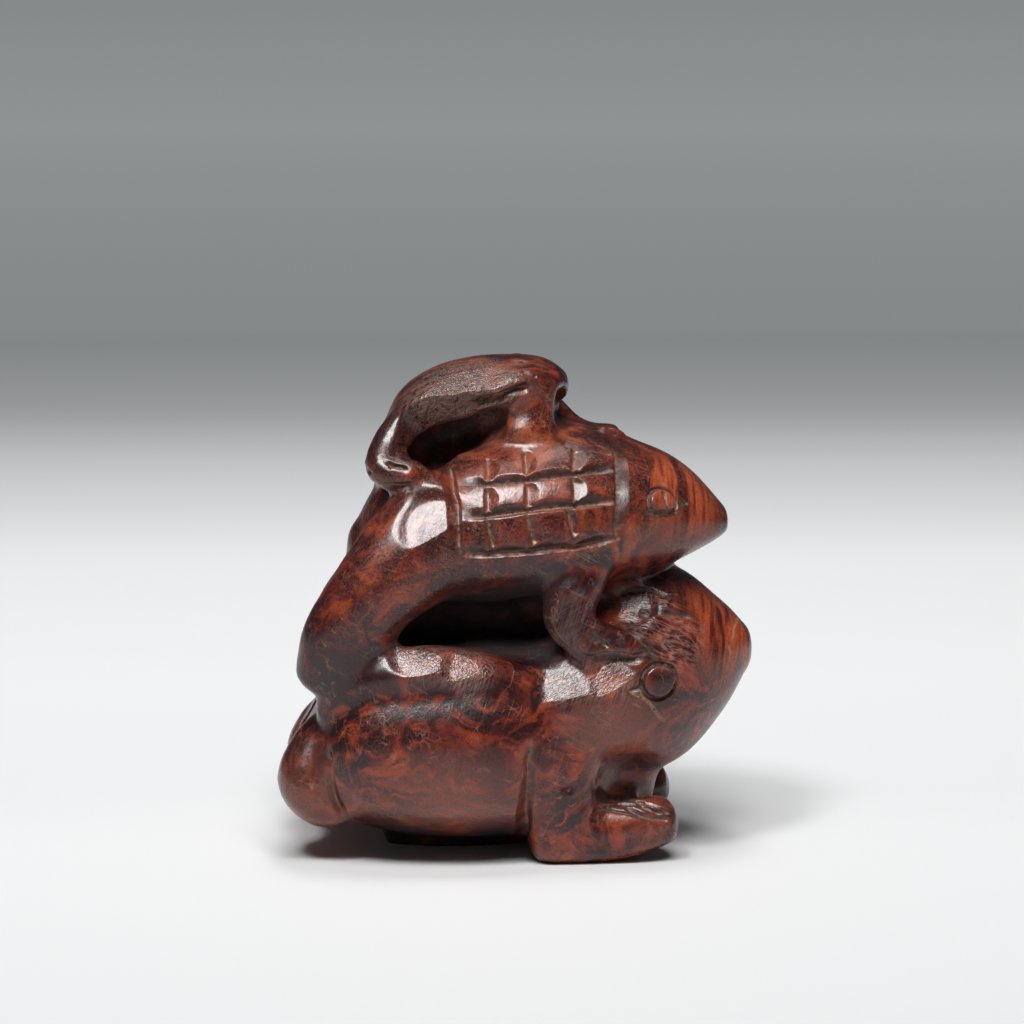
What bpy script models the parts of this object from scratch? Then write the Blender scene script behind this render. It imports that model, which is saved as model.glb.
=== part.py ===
"""A small carved wood ornament: three frogs climbing on one another's backs.

The whole group is cut from one block, so it is one solid. The frogs face +X, -Y is the side
that the photograph shows, and the flat soles stand on z = 0.
Every form is given in model millimetres, which are shares of the group's height.
"""

import bpy
import numpy as np

# Driving dimensions, in metres
GROUP_HEIGHT = 0.0495
VOXEL = 0.00042
SOLID_TRIANGLES = 9400

# One model millimetre: the group is 49.5 of them high
MM = GROUP_HEIGHT / 49.5
RING_POINTS = 40
RINGS = 44
CAP_RINGS = 5
NEAR, FAR = -1, 1

# Upright bodies: (x, lowest z, z of the widest line, highest z, half width)
BIG_TORSO = [
    (-21.2, 6.0, 9.0, 12.6, 7.0),
    (-19.4, 4.0, 9.5, 16.0, 10.6),
    (-16.0, 2.4, 10.4, 20.2, 13.6),
    (-11.0, 1.2, 10.8, 22.2, 14.9),
    (-6.0, 0.8, 10.8, 22.2, 15.2),
    (-1.0, 0.9, 10.8, 22.0, 14.6),
    (4.0, 0.9, 10.6, 21.2, 12.8),
    (8.0, 1.4, 9.6, 18.5, 9.4),
    (11.0, 2.2, 8.4, 15.0, 6.8),
    (12.8, 3.4, 7.6, 12.0, 5.2),
]
BELLY_REST = [
    (-13.0, -0.3, 1.6, 3.6, 1.6),
    (-10.0, -0.8, 1.6, 4.0, 2.4),
    (-2.0, -0.8, 1.6, 4.0, 2.4),
    (1.0, -0.3, 1.6, 3.6, 1.6),
]
BIG_HEAD = [
    (-4.0, 9.0, 15.0, 20.5, 9.0),
    (1.0, 8.4, 15.0, 22.2, 12.4),
    (6.0, 7.6, 16.0, 24.0, 13.0),
    (10.5, 7.4, 17.0, 26.4, 12.6),
    (14.5, 7.8, 18.6, 28.4, 11.4),
    (17.5, 9.6, 19.4, 27.2, 9.5),
    (20.0, 12.5, 19.8, 25.1, 7.3),
    (21.8, 15.2, 20.0, 23.5, 5.3),
    (23.0, 17.6, 20.0, 22.1, 3.4),
]
MIDDLE_BODY = [
    (-16.0, 25.8, 29.4, 32.8, 4.0),
    (-14.6, 25.2, 30.0, 35.6, 7.0),
    (-11.0, 25.0, 31.2, 38.1, 11.0),
    (-6.0, 25.0, 32.4, 41.0, 12.4),
    (0.0, 25.0, 33.2, 42.6, 12.6),
    (5.0, 25.8, 33.7, 42.8, 12.2),
    (9.0, 26.8, 34.0, 41.9, 11.4),
    (12.5, 27.6, 33.9, 40.6, 10.2),
    (15.5, 28.8, 33.6, 39.3, 8.4),
    (18.0, 30.0, 33.2, 37.4, 6.3),
    (19.7, 30.9, 32.9, 35.5, 4.5),
    (20.8, 31.6, 32.8, 34.2, 3.0),
]
SMALL_BODY = [
    (-13.4, 39.2, 40.4, 41.8, 3.6),
    (-12.6, 39.8, 42.2, 44.2, 5.4),
    (-10.8, 41.8, 45.2, 46.6, 6.8),
    (-8.0, 42.6, 46.5, 48.3, 7.3),
    (-4.5, 43.3, 46.9, 49.3, 7.4),
    (-1.0, 44.1, 47.6, 49.5, 7.1),
    (1.6, 44.5, 47.9, 49.4, 6.3),
    (3.5, 44.7, 47.4, 48.9, 4.9),
    (4.8, 45.2, 46.7, 47.9, 3.5),
]
MIDDLE_WEB = [
    (-16.2, 15.0, 21.0, 29.6, 7.4),
    (-12.0, 17.0, 23.0, 30.0, 5.6),
    (-8.0, 18.0, 24.0, 30.0, 4.4),
    (1.0, 18.0, 24.0, 30.0, 3.4),
    (5.0, 18.0, 24.0, 30.0, 5.0),
    (12.0, 20.0, 26.0, 31.0, 6.5),
]
SMALL_WEB = [
    (-13.4, 36.0, 39.4, 42.4, 5.6),
    (-11.6, 37.0, 40.0, 43.0, 2.8),
    (-5.0, 39.0, 42.0, 46.0, 2.6),
    (-1.4, 41.0, 44.0, 47.0, 4.6),
    (2.6, 41.0, 44.0, 47.0, 4.4),
]

# Limbs of the side that is seen: (x, reach out from the middle, z, half height, half width)
BIG_THIGH = [
    (-16.6, 7.0, 12.0, 3.0, 3.4),
    (-13.5, 7.4, 12.0, 5.8, 6.0),
    (-8.5, 7.6, 12.0, 7.2, 7.6),
    (-3.5, 7.6, 11.9, 6.2, 6.8),
    (-0.6, 7.6, 11.8, 3.6, 4.4),
]
BIG_FLANK = [
    (-18.6, 7.8, 15.2, 1.8, 2.2),
    (-15.4, 9.6, 18.2, 2.5, 2.7),
    (-11.0, 10.3, 19.4, 2.8, 3.2),
    (-6.0, 10.2, 19.3, 2.6, 3.2),
    (-1.0, 10.0, 18.4, 2.3, 2.8),
    (4.0, 9.6, 17.4, 1.8, 2.4),
    (8.0, 9.0, 17.0, 1.4, 2.2),
]
BIG_HEEL = [
    (-17.9, 5.4, 14.0, 1.9, 2.8),
    (-20.3, 6.6, 10.8, 2.6, 3.5),
    (-21.0, 7.1, 7.8, 2.9, 4.0),
    (-19.6, 7.2, 6.2, 2.8, 3.8),
    (-17.2, 7.2, 5.8, 2.4, 3.2),
]
BIG_UPPER_ARM = [
    (4.6, 8.4, 15.0, 3.2, 3.4),
    (4.5, 9.2, 11.0, 3.6, 3.6),
    (4.2, 9.4, 7.0, 3.5, 3.4),
    (4.0, 9.0, 4.4, 3.2, 3.2),
]
BIG_FOREARM = [
    (2.7, 8.6, 3.2, 3.5, 3.2),
    (8.0, 8.2, 3.0, 3.3, 3.2),
    (12.0, 8.2, 3.5, 2.9, 3.0),
    (14.4, 8.0, 4.0, 2.5, 2.7),
]
MIDDLE_THIGH = [
    (-6.6, 7.0, 33.4, 6.6, 5.4),
    (-10.9, 8.6, 30.4, 5.4, 4.8),
    (-14.8, 9.4, 26.2, 4.5, 4.2),
    (-17.6, 9.0, 22.0, 4.1, 3.6),
    (-19.3, 8.2, 18.6, 3.0, 2.8),
]
MIDDLE_FAR_THIGH = [
    (-5.6, 7.0, 32.6, 6.6, 5.4),
    (-9.6, 8.6, 29.4, 5.4, 4.8),
    (-13.4, 9.4, 25.2, 4.5, 4.2),
    (-17.0, 9.0, 21.2, 3.7, 3.6),
    (-18.8, 8.2, 17.4, 2.6, 2.8),
]
MIDDLE_HIP = [
    (-15.6, 6.6, 22.0, 2.6, 3.0),
    (-13.8, 7.4, 25.5, 3.2, 3.2),
    (-11.0, 7.8, 29.5, 3.4, 3.6),
]
MIDDLE_ARM = [
    (6.6, 8.2, 30.5, 3.0, 2.6),
    (5.4, 9.6, 27.6, 2.8, 2.4),
    (4.8, 10.4, 24.9, 2.5, 2.3),
    (6.6, 10.6, 22.9, 2.2, 2.3),
    (9.4, 10.6, 22.2, 1.9, 2.1),
    (12.0, 10.2, 21.9, 1.4, 1.6),
]
SMALL_HIND = [
    (-10.8, 4.4, 43.5, 2.0, 2.0),
    (-12.6, 5.6, 41.3, 1.9, 2.0),
    (-13.3, 7.0, 39.4, 1.8, 2.1),
    (-10.2, 8.4, 38.6, 1.7, 2.0),
]
SMALL_NEAR_ARM = [
    (1.5, 3.6, 46.6, 2.8, 2.2),
    (1.2, 4.2, 44.2, 2.5, 2.0),
    (0.9, 5.0, 42.0, 2.9, 2.2),
]
SMALL_FAR_ARM = [
    (3.4, 3.0, 45.9, 1.5, 1.6),
    (4.2, 3.6, 43.3, 1.3, 1.6),
    (7.0, 3.6, 41.4, 1.0, 1.6),
    (9.8, 2.8, 41.3, 0.9, 1.7),
]


# Lines of the back panels of the middle frog, from the rear forwards: (x, reach, z)
PANEL_ROWS = [
    [(-5.8, 9.8, 38.2), (-3.2, 10.4, 38.3), (-0.8, 10.6, 38.5), (2.2, 10.5, 38.9), (5.1, 10.1, 39.2), (9.6, 8.7, 39.4)],
    [(-5.0, 12.1, 35.1), (-2.8, 12.3, 35.4), (2.1, 12.1, 36.0), (5.0, 11.8, 36.2), (9.2, 10.9, 36.4)],
    [(-5.2, 12.3, 31.4), (0.2, 12.3, 31.7), (3.1, 12.2, 31.9), (6.5, 11.7, 32.2), (9.7, 11.1, 32.8)],
]
PANEL_ENDS = (-5.8, -3.2, 0.7, 5.3, 9.6)
# Upright cuts between the panels, from the top down
PANEL_UPRIGHTS = [
    [(-3.1, 7.6, 40.3), (-3.2, 10.2, 38.6)],
    [(-3.2, 10.7, 38.0), (-3.2, 12.2, 35.6)],
    [(-3.2, 12.3, 35.0), (-2.9, 12.4, 33.4), (-2.6, 12.4, 32.1)],
    [(0.5, 7.5, 41.1), (0.7, 10.2, 39.2)],
    [(0.7, 10.7, 38.6), (0.8, 12.2, 36.0)],
    [(0.7, 12.3, 35.4), (1.0, 12.4, 33.8), (1.4, 12.4, 32.4)],
    [(5.5, 7.0, 41.4), (5.3, 9.8, 39.5)],
    [(5.3, 10.3, 38.9), (5.4, 11.7, 36.6)],
    [(4.7, 11.9, 36.0), (4.9, 12.0, 34.6), (5.4, 12.1, 33.2)],
]

# V cuts: (points, depth, width on the left, width on the right), left seen from outside
CUTS = [
    # Half row over the panels, band behind them and band round the neck
    ([(3.9, 6.6, 41.9), (5.7, 7.0, 41.4), (8.2, 6.8, 41.0), (9.6, 6.8, 40.7)], 0.35, 0.8, 0.3),
    ([(-6.7, 7.0, 39.5), (-6.3, 10.1, 38.1), (-6.0, 12.0, 35.4), (-5.8, 12.4, 31.7)], 0.65, 0.3, 1.1),
    ([(9.6, 6.2, 40.9), (9.6, 9.0, 38.8), (9.5, 10.7, 36.4), (9.3, 11.2, 33.8), (9.6, 11.0, 32.4)], 0.5, 1.3, 0.3),
    # Middle frog: groove round the front foot, its toes and the front edge of the foot
    ([(3.0, 11.4, 24.4), (3.4, 11.6, 23.0), (5.4, 11.9, 21.6), (8.0, 12.3, 21.0), (10.4, 12.1, 21.0), (12.6, 11.6, 21.6)], 0.6, 0.5, 0.8),
    ([(7.0, 12.8, 23.0), (7.8, 12.8, 22.8), (8.7, 12.7, 22.4)], 0.35, 0.3, 0.3),
    ([(9.2, 9.4, 24.4), (10.2, 10.4, 23.9), (11.9, 11.4, 22.8), (13.6, 11.3, 21.2)], 0.4, 0.7, 0.4),
    ([(11.6, 7.8, 25.1), (14.5, 8.8, 24.9), (17.1, 7.8, 24.4)], 0.45, 0.9, 0.5),
    # Small frog: cut behind the arm, toes and the groove under the hind foot
    ([(-4.2, 6.9, 45.2), (-1.7, 6.9, 46.1), (-0.2, 6.7, 46.8), (1.3, 6.0, 47.2)], 0.9, 0.8, 0.6),
    ([(-13.0, 8.8, 40.0), (-12.0, 9.4, 39.8), (-10.9, 9.6, 39.6)], 0.5, 0.4, 0.25),
    ([(-13.9, 7.4, 39.3), (-13.2, 8.4, 39.1)], 0.4, 0.3, 0.3),
    ([(-14.2, 7.0, 38.2), (-13.4, 8.2, 37.9), (-11.5, 10.2, 37.8), (-10.2, 10.6, 38.2)], 0.5, 0.5, 0.6),
    # Big frog: edge of the heel, edge of the front leg, top of the forearm and the toes
    ([(-18.8, 11.1, 11.9), (-18.6, 11.5, 9.5), (-18.2, 10.7, 7.3), (-17.4, 9.2, 5.2)], 0.55, 0.6, 0.6),
    ([(1.2, 13.8, 13.2), (0.9, 14.0, 11.0), (0.8, 13.2, 8.3), (0.6, 11.5, 5.3), (0.5, 9.1, 3.1), (0.2, 6.0, 1.6)], 0.7, 0.7, 1.0),
    ([(7.2, 10.8, 8.4), (8.4, 10.0, 9.4), (10.0, 9.0, 10.2), (12.4, 7.4, 10.6)], 0.5, 0.6, 1.0),
    ([(7.6, 10.6, 7.0), (10.0, 8.6, 6.3), (13.2, 6.4, 5.9)], 0.7, 1.0, 0.6),
    ([(10.4, 10.0, 6.2), (12.0, 11.4, 5.6), (13.5, 11.5, 5.0), (15.2, 10.7, 4.5)], 0.35, 0.4, 0.4),
    ([(11.6, 9.0, 6.1), (13.2, 10.7, 5.7), (15.0, 10.2, 5.2)], 0.35, 0.4, 0.4),
]
# Small cuts of the eyes: pupil lines, lower lid and corners
EYE_CUTS = [
    ([(14.4, 8.6, 37.4), (14.4, 8.7, 36.4), (14.4, 8.8, 35.4)], 0.3, 0.2, 0.2),
    ([(12.4, 9.9, 35.2), (14.2, 9.2, 35.0), (15.9, 8.0, 35.1)], 0.4, 0.35, 0.35),
    ([(16.0, 7.7, 35.7), (16.5, 7.4, 35.9), (17.1, 7.0, 35.8)], 0.3, 0.4, 0.35),
    ([(12.0, 12.1, 18.4), (11.4, 12.3, 18.1), (10.7, 12.5, 17.9)], 0.35, 0.35, 0.35),
]
# Middle line of the rear, between the hind quarters of the big frog
REAR_CLEFT = [(-21.6, 0.0, 5.6), (-21.4, 0.0, 9.5), (-20.4, 0.0, 13.5), (-18.6, 0.0, 17.0)]

# Flat faces that the knife left: (x, reach, z, direction or None for the surface's own, depth, reach of it)
FACETS = [
    (-8.2, 12.3, 34.4, (-0.12, -0.83, 0.54), 0.3, 3.6),
    (-10.1, 12.3, 21.4, (-0.11, -0.76, 0.64), 0.35, 2.6),
    (-5.4, 12.9, 20.4, (-0.04, -0.82, 0.57), 0.3, 2.0),
    (4.4, 11.8, 18.5, (-0.14, -0.82, 0.55), 0.25, 2.6),
    (9.2, 12.1, 19.0, (-0.1, -0.88, 0.46), 0.25, 2.4),
    (15.5, 9.8, 22.5, (0.14, -0.86, 0.5), 0.35, 2.6),
    (11.4, 7.0, 25.4, (-0.14, -0.78, 0.6), 0.35, 2.2),
    (6.8, 12.6, 24.4, (0.05, -0.99, 0.1), 0.5, 3.6),
    (-7.0, 7.0, 44.9, (-0.05, -0.86, -0.5), 0.45, 4.4),
    (-3.4, 7.1, 45.6, (0.0, -0.86, -0.5), 0.4, 2.4),
    (-6.0, 5.8, 47.6, (-0.1, -0.55, 0.83), 0.3, 4.5),
]

# Hollows: (x, reach, z, radius, depth, sides); a negative depth raises a swelling
HOLLOWS = [
    (1.4, 5.0, 24.6, 3.2, 1.8, (-1, 1)),
    (-10.6, 8.6, 23.8, 2.6, 1.2, (-1, 1)),
    (-6.8, 5.6, 23.6, 2.6, 1.0, (-1, 1)),
    (8.8, 7.4, 26.0, 1.9, 0.9, (-1, 1)),
    (-9.2, 4.2, 39.8, 2.6, 1.2, (-1, 1)),
    (-8.0, 2.6, 40.4, 3.4, 1.6, (-1, 1)),
    (-5.0, 3.0, 42.2, 2.8, 1.2, (-1, 1)),
    (-2.6, 4.6, 43.9, 2.2, 1.2, (-1, 1)),
    (4.3, 3.0, 45.4, 1.9, 1.3, (-1, 1)),
    (-17.2, 7.4, 4.6, 2.2, 0.8, (-1, 1)),
    (10.9, 7.2, 9.2, 3.6, 0.9, (-1, 1)),
    (4.7, 13.0, 8.5, 1.0, 0.4, (-1,)),
    (6.3, 12.4, 6.8, 1.5, 0.45, (-1,)),
    (8.8, 0.9, 42.1, 1.3, -0.6, (-1,)),
    (10.2, 0.9, 41.8, 1.3, -0.7, (-1,)),
]

# Places that are rubbed smooth after the hollows are cut: (x, reach, z, radius)
RUBBED = [
    (-7.4, 4.6, 40.6, 2.4),
    (-10.4, 5.0, 40.4, 1.6),
    (-2.6, 4.8, 43.6, 1.6),
    (-6.8, 6.2, 24.2, 2.6),
    (1.4, 5.0, 25.0, 2.6),
    (-10.9, 9.4, 24.6, 2.4),
    (10.9, 7.2, 9.2, 2.0),
    (4.3, 3.4, 45.4, 1.4),
]

# Eyes: (x, reach, z, radius across, radius up, height, depth of the ring cut, flat lower lid's share)
EYES = [
    (13.7, 11.6, 18.8, 1.95, 1.85, 0.4, 0.55, 1.0),
    (14.2, 8.7, 36.1, 1.7, 1.6, 0.3, 0.5, 0.62),
    (0.1, 2.9, 49.2, 0.8, 0.5, 0.05, 0.25, 1.0),
]


# Limbs that both sides have, and how far the far one stands forward and up of the near one
FAR_SHIFTS = [
    (BIG_THIGH, (0.0, 0.0)),
    (BIG_FLANK, (0.0, 0.0)),
    (BIG_HEEL, (0.6, -0.4)),
    (BIG_UPPER_ARM, (0.5, 0.0)),
    (BIG_FOREARM, (0.1, 0.0)),
    (MIDDLE_HIP, (0.5, 0.0)),
    (MIDDLE_ARM, (0.0, 0.0)),
    (SMALL_HIND, (1.2, -0.8)),
]


def through(rows, count):
    """Reads count rows from a smooth cubic curve that passes through the given rows."""
    rows = np.asarray(rows, float)
    step = np.linalg.norm(np.diff(rows[:, :3], axis=0), axis=1)
    at = np.concatenate([[0.0], np.cumsum(step)])
    slope = np.gradient(rows, at, axis=0)
    where = np.linspace(0.0, at[-1], count)
    i = np.clip(np.searchsorted(at, where, side="right") - 1, 0, len(at) - 2)
    span = (at[i + 1] - at[i])[:, None]
    t = (where - at[i])[:, None] / span
    return (
        (1 + 2 * t) * (1 - t) ** 2 * rows[i]
        + t * (1 - t) ** 2 * span * slope[i]
        + t * t * (3 - 2 * t) * rows[i + 1]
        + t * t * (t - 1) * span * slope[i + 1]
    )


def skin(rows, fullness, blunt):
    """Points and faces of a closed skin over a path.

    Each row is (x, y, z, across, over, upper, lower, width): the path, the ring's two directions
    and its sizes over, under and beside the path. A ring is a superellipse,
    |a|^fullness + |b|^fullness = 1, with one fullness above and another below.
    Rings that shrink along a quarter circle round off both ends.
    """
    path, across, over, upper, lower, width, along = rows
    turn = np.linspace(0, np.pi / 2, CAP_RINGS + 1)[1:]
    order = np.concatenate([np.zeros(CAP_RINGS, int), np.arange(RINGS), np.full(CAP_RINGS, RINGS - 1)])
    shrink = np.concatenate([np.cos(turn)[::-1], np.ones(RINGS), np.cos(turn)])
    shrink = np.maximum(shrink, 0.02)
    push = np.concatenate([-np.sin(turn)[::-1], np.zeros(RINGS), np.sin(turn)])
    push *= np.minimum((upper + lower) / 2, width)[order] * blunt
    angle = np.linspace(0, 2 * np.pi, RING_POINTS, endpoint=False)
    power = np.where(np.sin(angle) > 0, 2 / fullness[0], 2 / fullness[1])
    side = np.sign(np.cos(angle)) * np.abs(np.cos(angle)) ** power
    rise = np.sign(np.sin(angle)) * np.abs(np.sin(angle)) ** power
    height = np.where(np.sin(angle) > 0, upper[order, None], lower[order, None]) * shrink[:, None]
    points = (
        (path[order] + along[order] * push[:, None])[:, None]
        + across[order][:, None] * (side * (width[order] * shrink)[:, None])[..., None]
        + over[order][:, None] * (rise * height)[..., None]
    )
    rings = len(order)
    k, j = np.meshgrid(np.arange(rings - 1), np.arange(RING_POINTS), indexing="ij")
    after = (j + 1) % RING_POINTS
    quads = np.stack([k, k + 1, k + 1, k], -1) * RING_POINTS + np.stack([j, j, after, after], -1)
    faces = [list(f) for f in quads.reshape(-1, 4)]
    faces.append(list(range(RING_POINTS)))
    faces.append(list(range((rings - 1) * RING_POINTS, rings * RING_POINTS))[::-1])
    return points.reshape(-1, 3), faces


def body(rows, upper=2.1, lower=2.1):
    """Skin of an upright body on the middle plane, from rows of the tables above."""
    x, low, rim, high, width = through([(r[0], 0.0, r[2], r[1], r[3], r[4]) for r in rows], RINGS).T[
        [0, 3, 2, 4, 5]
    ]
    path = np.stack([x, 0 * x, rim], 1)
    along, across, over = (np.tile(v, (RINGS, 1)) for v in ([1.0, 0, 0], [0, 1.0, 0], [0, 0, 1.0]))
    return skin((path, across, over, high - rim, rim - low, width, along), (upper, lower), 0.3)


def limb(rows, side, shift=(0.0, 0.0)):
    """Skin of a limb on the near or the far side, with rings square to its path."""
    rows = through([(r[0] + shift[0], r[1] * side, r[2] + shift[1], r[3], r[4]) for r in rows], RINGS)
    path = rows[:, :3]
    along = np.gradient(path, axis=0)
    along /= np.linalg.norm(along, axis=1, keepdims=True)
    across = np.array([0.0, 1.0, 0.0]) - along * along[:, 1:2]
    across /= np.linalg.norm(across, axis=1, keepdims=True)
    over = np.cross(along, across)
    return skin((path, across, over, rows[:, 3], rows[:, 3], rows[:, 4], along), (2.0, 2.0), 0.6)


def masses():
    """Every rough mass of the group, as skins that overlap."""
    found = [
        body(BIG_TORSO, 2.5, 1.8),
        body(BELLY_REST),
        body(BIG_HEAD, 2.1, 2.0),
        body(MIDDLE_BODY, 2.1, 2.2),
        body(SMALL_BODY, 1.8, 2.4),
        body(MIDDLE_WEB),
        body(SMALL_WEB),
        limb(SMALL_NEAR_ARM, NEAR),
        limb(SMALL_FAR_ARM, FAR),
        limb(MIDDLE_THIGH, NEAR),
        limb(MIDDLE_FAR_THIGH, FAR),
    ]
    for rows, shift in FAR_SHIFTS:
        found += [limb(rows, NEAR), limb(rows, FAR, shift)]
    return found


def joined(skins, name):
    """One mesh that holds all the skins."""
    points, faces, start = [], [], 0
    for p, f in skins:
        points.append(p * MM)
        faces += [[i + start for i in face] for face in f]
        start += len(p)
    mesh = bpy.data.meshes.new(name)
    mesh.from_pydata(np.concatenate(points).tolist(), [], faces)
    mesh.update()
    return mesh


class Block:
    """The rough block's points in model millimetres, and the ways in which they are worked."""

    def __init__(self, mesh, spacing):
        self.spacing = spacing
        self.v = np.empty(len(mesh.vertices) * 3)
        mesh.vertices.foreach_get("co", self.v)
        self.v = self.v.reshape(-1, 3) / MM
        self.quads = np.empty(len(mesh.polygons) * 4, int)
        mesh.polygons.foreach_get("vertices", self.quads)
        self.quads = self.quads.reshape(-1, 4)
        self.edges = np.empty(len(mesh.edges) * 2, int)
        mesh.edges.foreach_get("vertices", self.edges)
        self.edges = self.edges.reshape(-1, 2)
        self.links = np.bincount(self.edges.ravel(), minlength=len(self.v))
        self.n = self.normals()

    def store(self, mesh):
        """Writes the points back into the mesh that they came from."""
        mesh.vertices.foreach_set("co", (self.v * MM).ravel())
        mesh.update()

    def gather(self, where, amounts):
        """Sums rows of amounts into the points named by where."""
        count = len(self.v)
        return np.stack([np.bincount(where, amounts[:, k], minlength=count) for k in range(3)], 1)

    def normals(self):
        """Outward unit normal of every point."""
        q = self.v[self.quads]
        face = np.cross(q[:, 2] - q[:, 0], q[:, 3] - q[:, 1])
        total = sum(self.gather(self.quads[:, k], face) for k in range(4))
        return total / np.maximum(np.linalg.norm(total, axis=1, keepdims=True), 1e-9)

    def lean(self):
        """Step from every point to the mean of its neighbours."""
        a, b = self.edges.T
        total = self.gather(a, self.v[b]) + self.gather(b, self.v[a])
        return total / self.links[:, None] - self.v

    def relax(self, reach, amount=1.0):
        """Evens the surface out over about the given reach."""
        for _ in range(max(1, round((reach / self.spacing) ** 2))):
            self.v += self.lean() * (0.5 * np.reshape(amount, (-1, 1)))

    def fillet(self, reach, amount=1.0):
        """Fills the inner corners only: points move out along their normals, never in."""
        for _ in range(max(1, round((reach / self.spacing) ** 2))):
            n = self.normals()
            out = np.maximum((self.lean() * n).sum(1), 0) * np.ravel(amount)
            self.v += n * (0.8 * out)[:, None]

    def near(self, spots):
        """Weight of every point, 1 inside spots of (x, y, z, radius) and fading to 0 at twice it."""
        weight = np.zeros(len(self.v))
        for x, y, z, radius in spots:
            far = np.linalg.norm(self.v - (x, y, z), axis=1) / radius
            weight = np.maximum(weight, np.clip(2 - far, 0, 1))
        return weight * weight * (3 - 2 * weight)

    def settle(self, points, side):
        """Points of a drawn line, on the surface and about as close together as the mesh's own."""
        points = np.array(points, float) * (1, side, 1)
        steps = np.linalg.norm(np.diff(points, axis=0), axis=1).sum()
        points = through(points, max(3, int(steps / max(self.spacing, 0.3))))
        box = np.all((self.v > points.min(0) - 3) & (self.v < points.max(0) + 3), axis=1)
        box = np.flatnonzero(box)
        near = np.array([box[np.argmin(((self.v[box] - p) ** 2).sum(1))] for p in points])
        line = self.v[near]
        line[1:-1] = (line[:-2] + 2 * line[1:-1] + line[2:]) / 4
        return line, near

    def cut(self, points, side, deep, left, right, swell=None, sickle=False, closed=False):
        """Cuts a V: depth = deep * (1 - distance / width), with a width for each side of the line.

        The left width follows swell(x), or is that of a sickle: narrow at both ends of the line.
        """
        line, at = self.settle(points, side)
        n = self.n
        wide = max(left, right)
        inside = np.all((self.v > line.min(0) - wide) & (self.v < line.max(0) + wide), axis=1)
        pick = np.flatnonzero(inside)
        p = self.v[pick]
        best = np.full(len(pick), 1e9)
        hand = np.zeros(len(pick))
        along = np.zeros(len(pick))
        for k in range(len(line) - 1):
            a, b = line[k], line[k + 1]
            t = np.clip((p - a) @ (b - a) / max((b - a) @ (b - a), 1e-9), 0, 1)
            off = p - a - t[:, None] * (b - a)
            far = np.linalg.norm(off, axis=1)
            closer = far < best
            best[closer] = far[closer]
            hand[closer] = (off @ np.cross(n[at[k]], b - a))[closer] * -side
            along[closer] = ((k + t) / (len(line) - 1))[closer]
        width = np.where(hand > 0, left, right)
        if swell is not None:
            width = np.where(hand > 0, width * swell(p[:, 0]), width)
        if sickle:
            width = np.where(hand > 0, width * (0.3 + 0.7 * np.sin(np.pi * along) ** 0.7), width)
        depth = deep * np.clip(1 - best / np.maximum(width, 1e-3), 0, 1)
        if not closed:
            depth *= np.clip(np.minimum(along, 1 - along) / 0.12, 0.15, 1)
        self.v[pick] -= n[pick] * depth[:, None]

    def facet(self, at, side, facing, deep, reach):
        """Planes off what stands above a flat face that lies deep under the surface at a point."""
        at = np.array(at, float) * (1, side, 1)
        near = np.argmin(((self.v - at) ** 2).sum(1))
        facing = self.n[near] if facing is None else np.array(facing, float) * (1, -side, 1)
        facing = facing / np.linalg.norm(facing)
        off = self.v - self.v[near]
        over = np.maximum(off @ facing + deep, 0)
        off -= (off @ facing)[:, None] * facing
        weight = np.clip(2.5 - 2 * np.linalg.norm(off, axis=1) / reach, 0, 1)
        weight *= weight * (3 - 2 * weight)
        weight[over > 4 * deep + 1.0] = 0
        self.v -= facing * (over * weight)[:, None]

    def hollow(self, at, side, radius, deep):
        """Presses a round hollow in, or raises a swelling when deep is negative."""
        off = self.v - np.array(at, float) * (1, side, 1)
        share = np.clip(1 - (off ** 2).sum(1) / np.square(radius), 0, 1) ** 1.5
        self.v -= self.n * (deep * share)[:, None]

    def eye(self, at, side, across, up, proud, ring, lid):
        """A raised eyeball inside a ring cut, in the plane that the surface has there."""
        at = np.array(at, float) * (1, side, 1)
        near = np.argmin(((self.v - at) ** 2).sum(1))
        centre, n = self.v[near].copy(), self.n[near]
        u = np.cross((0.0, 0.0, 1.0), n)
        u /= np.linalg.norm(u)
        w = np.cross(n, u)
        off = self.v - centre
        share = (off @ u / across) ** 2 + (off @ w / up) ** 2 + (off @ n / across) ** 2
        self.v += self.n * (proud * np.sqrt(np.clip(1 - share, 0, 1)))[:, None]
        turn = np.linspace(0, 2 * np.pi, 25)
        rise = np.maximum(np.sin(turn), -lid)
        loop = centre + np.outer(np.cos(turn) * across, u) + np.outer(rise * up, w)
        self.cut(loop * (1, side, 1), side, ring, 0.35, 0.3, closed=True)


def panel_swell(x):
    """Scallops of a cut: wide in the middle of each panel and narrow at its two ends."""
    ends = np.array(PANEL_ENDS)
    k = np.clip(np.searchsorted(ends, x) - 1, 0, len(ends) - 2)
    share = np.clip((x - ends[k]) / (ends[k + 1] - ends[k]), 0, 1)
    return 0.25 + 0.75 * np.sqrt(np.sin(np.pi * share))


def hollow_out(work):
    """The hollows and swellings, evened out."""
    for x, reach, z, radius, deep, sides in HOLLOWS:
        for side in sides:
            work.hollow((x, reach, z), side, radius, deep)
    spots = [(x, reach * side, z, radius) for x, reach, z, radius in RUBBED for side in (NEAR, FAR)]
    work.relax(0.9, work.near(spots))


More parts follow.
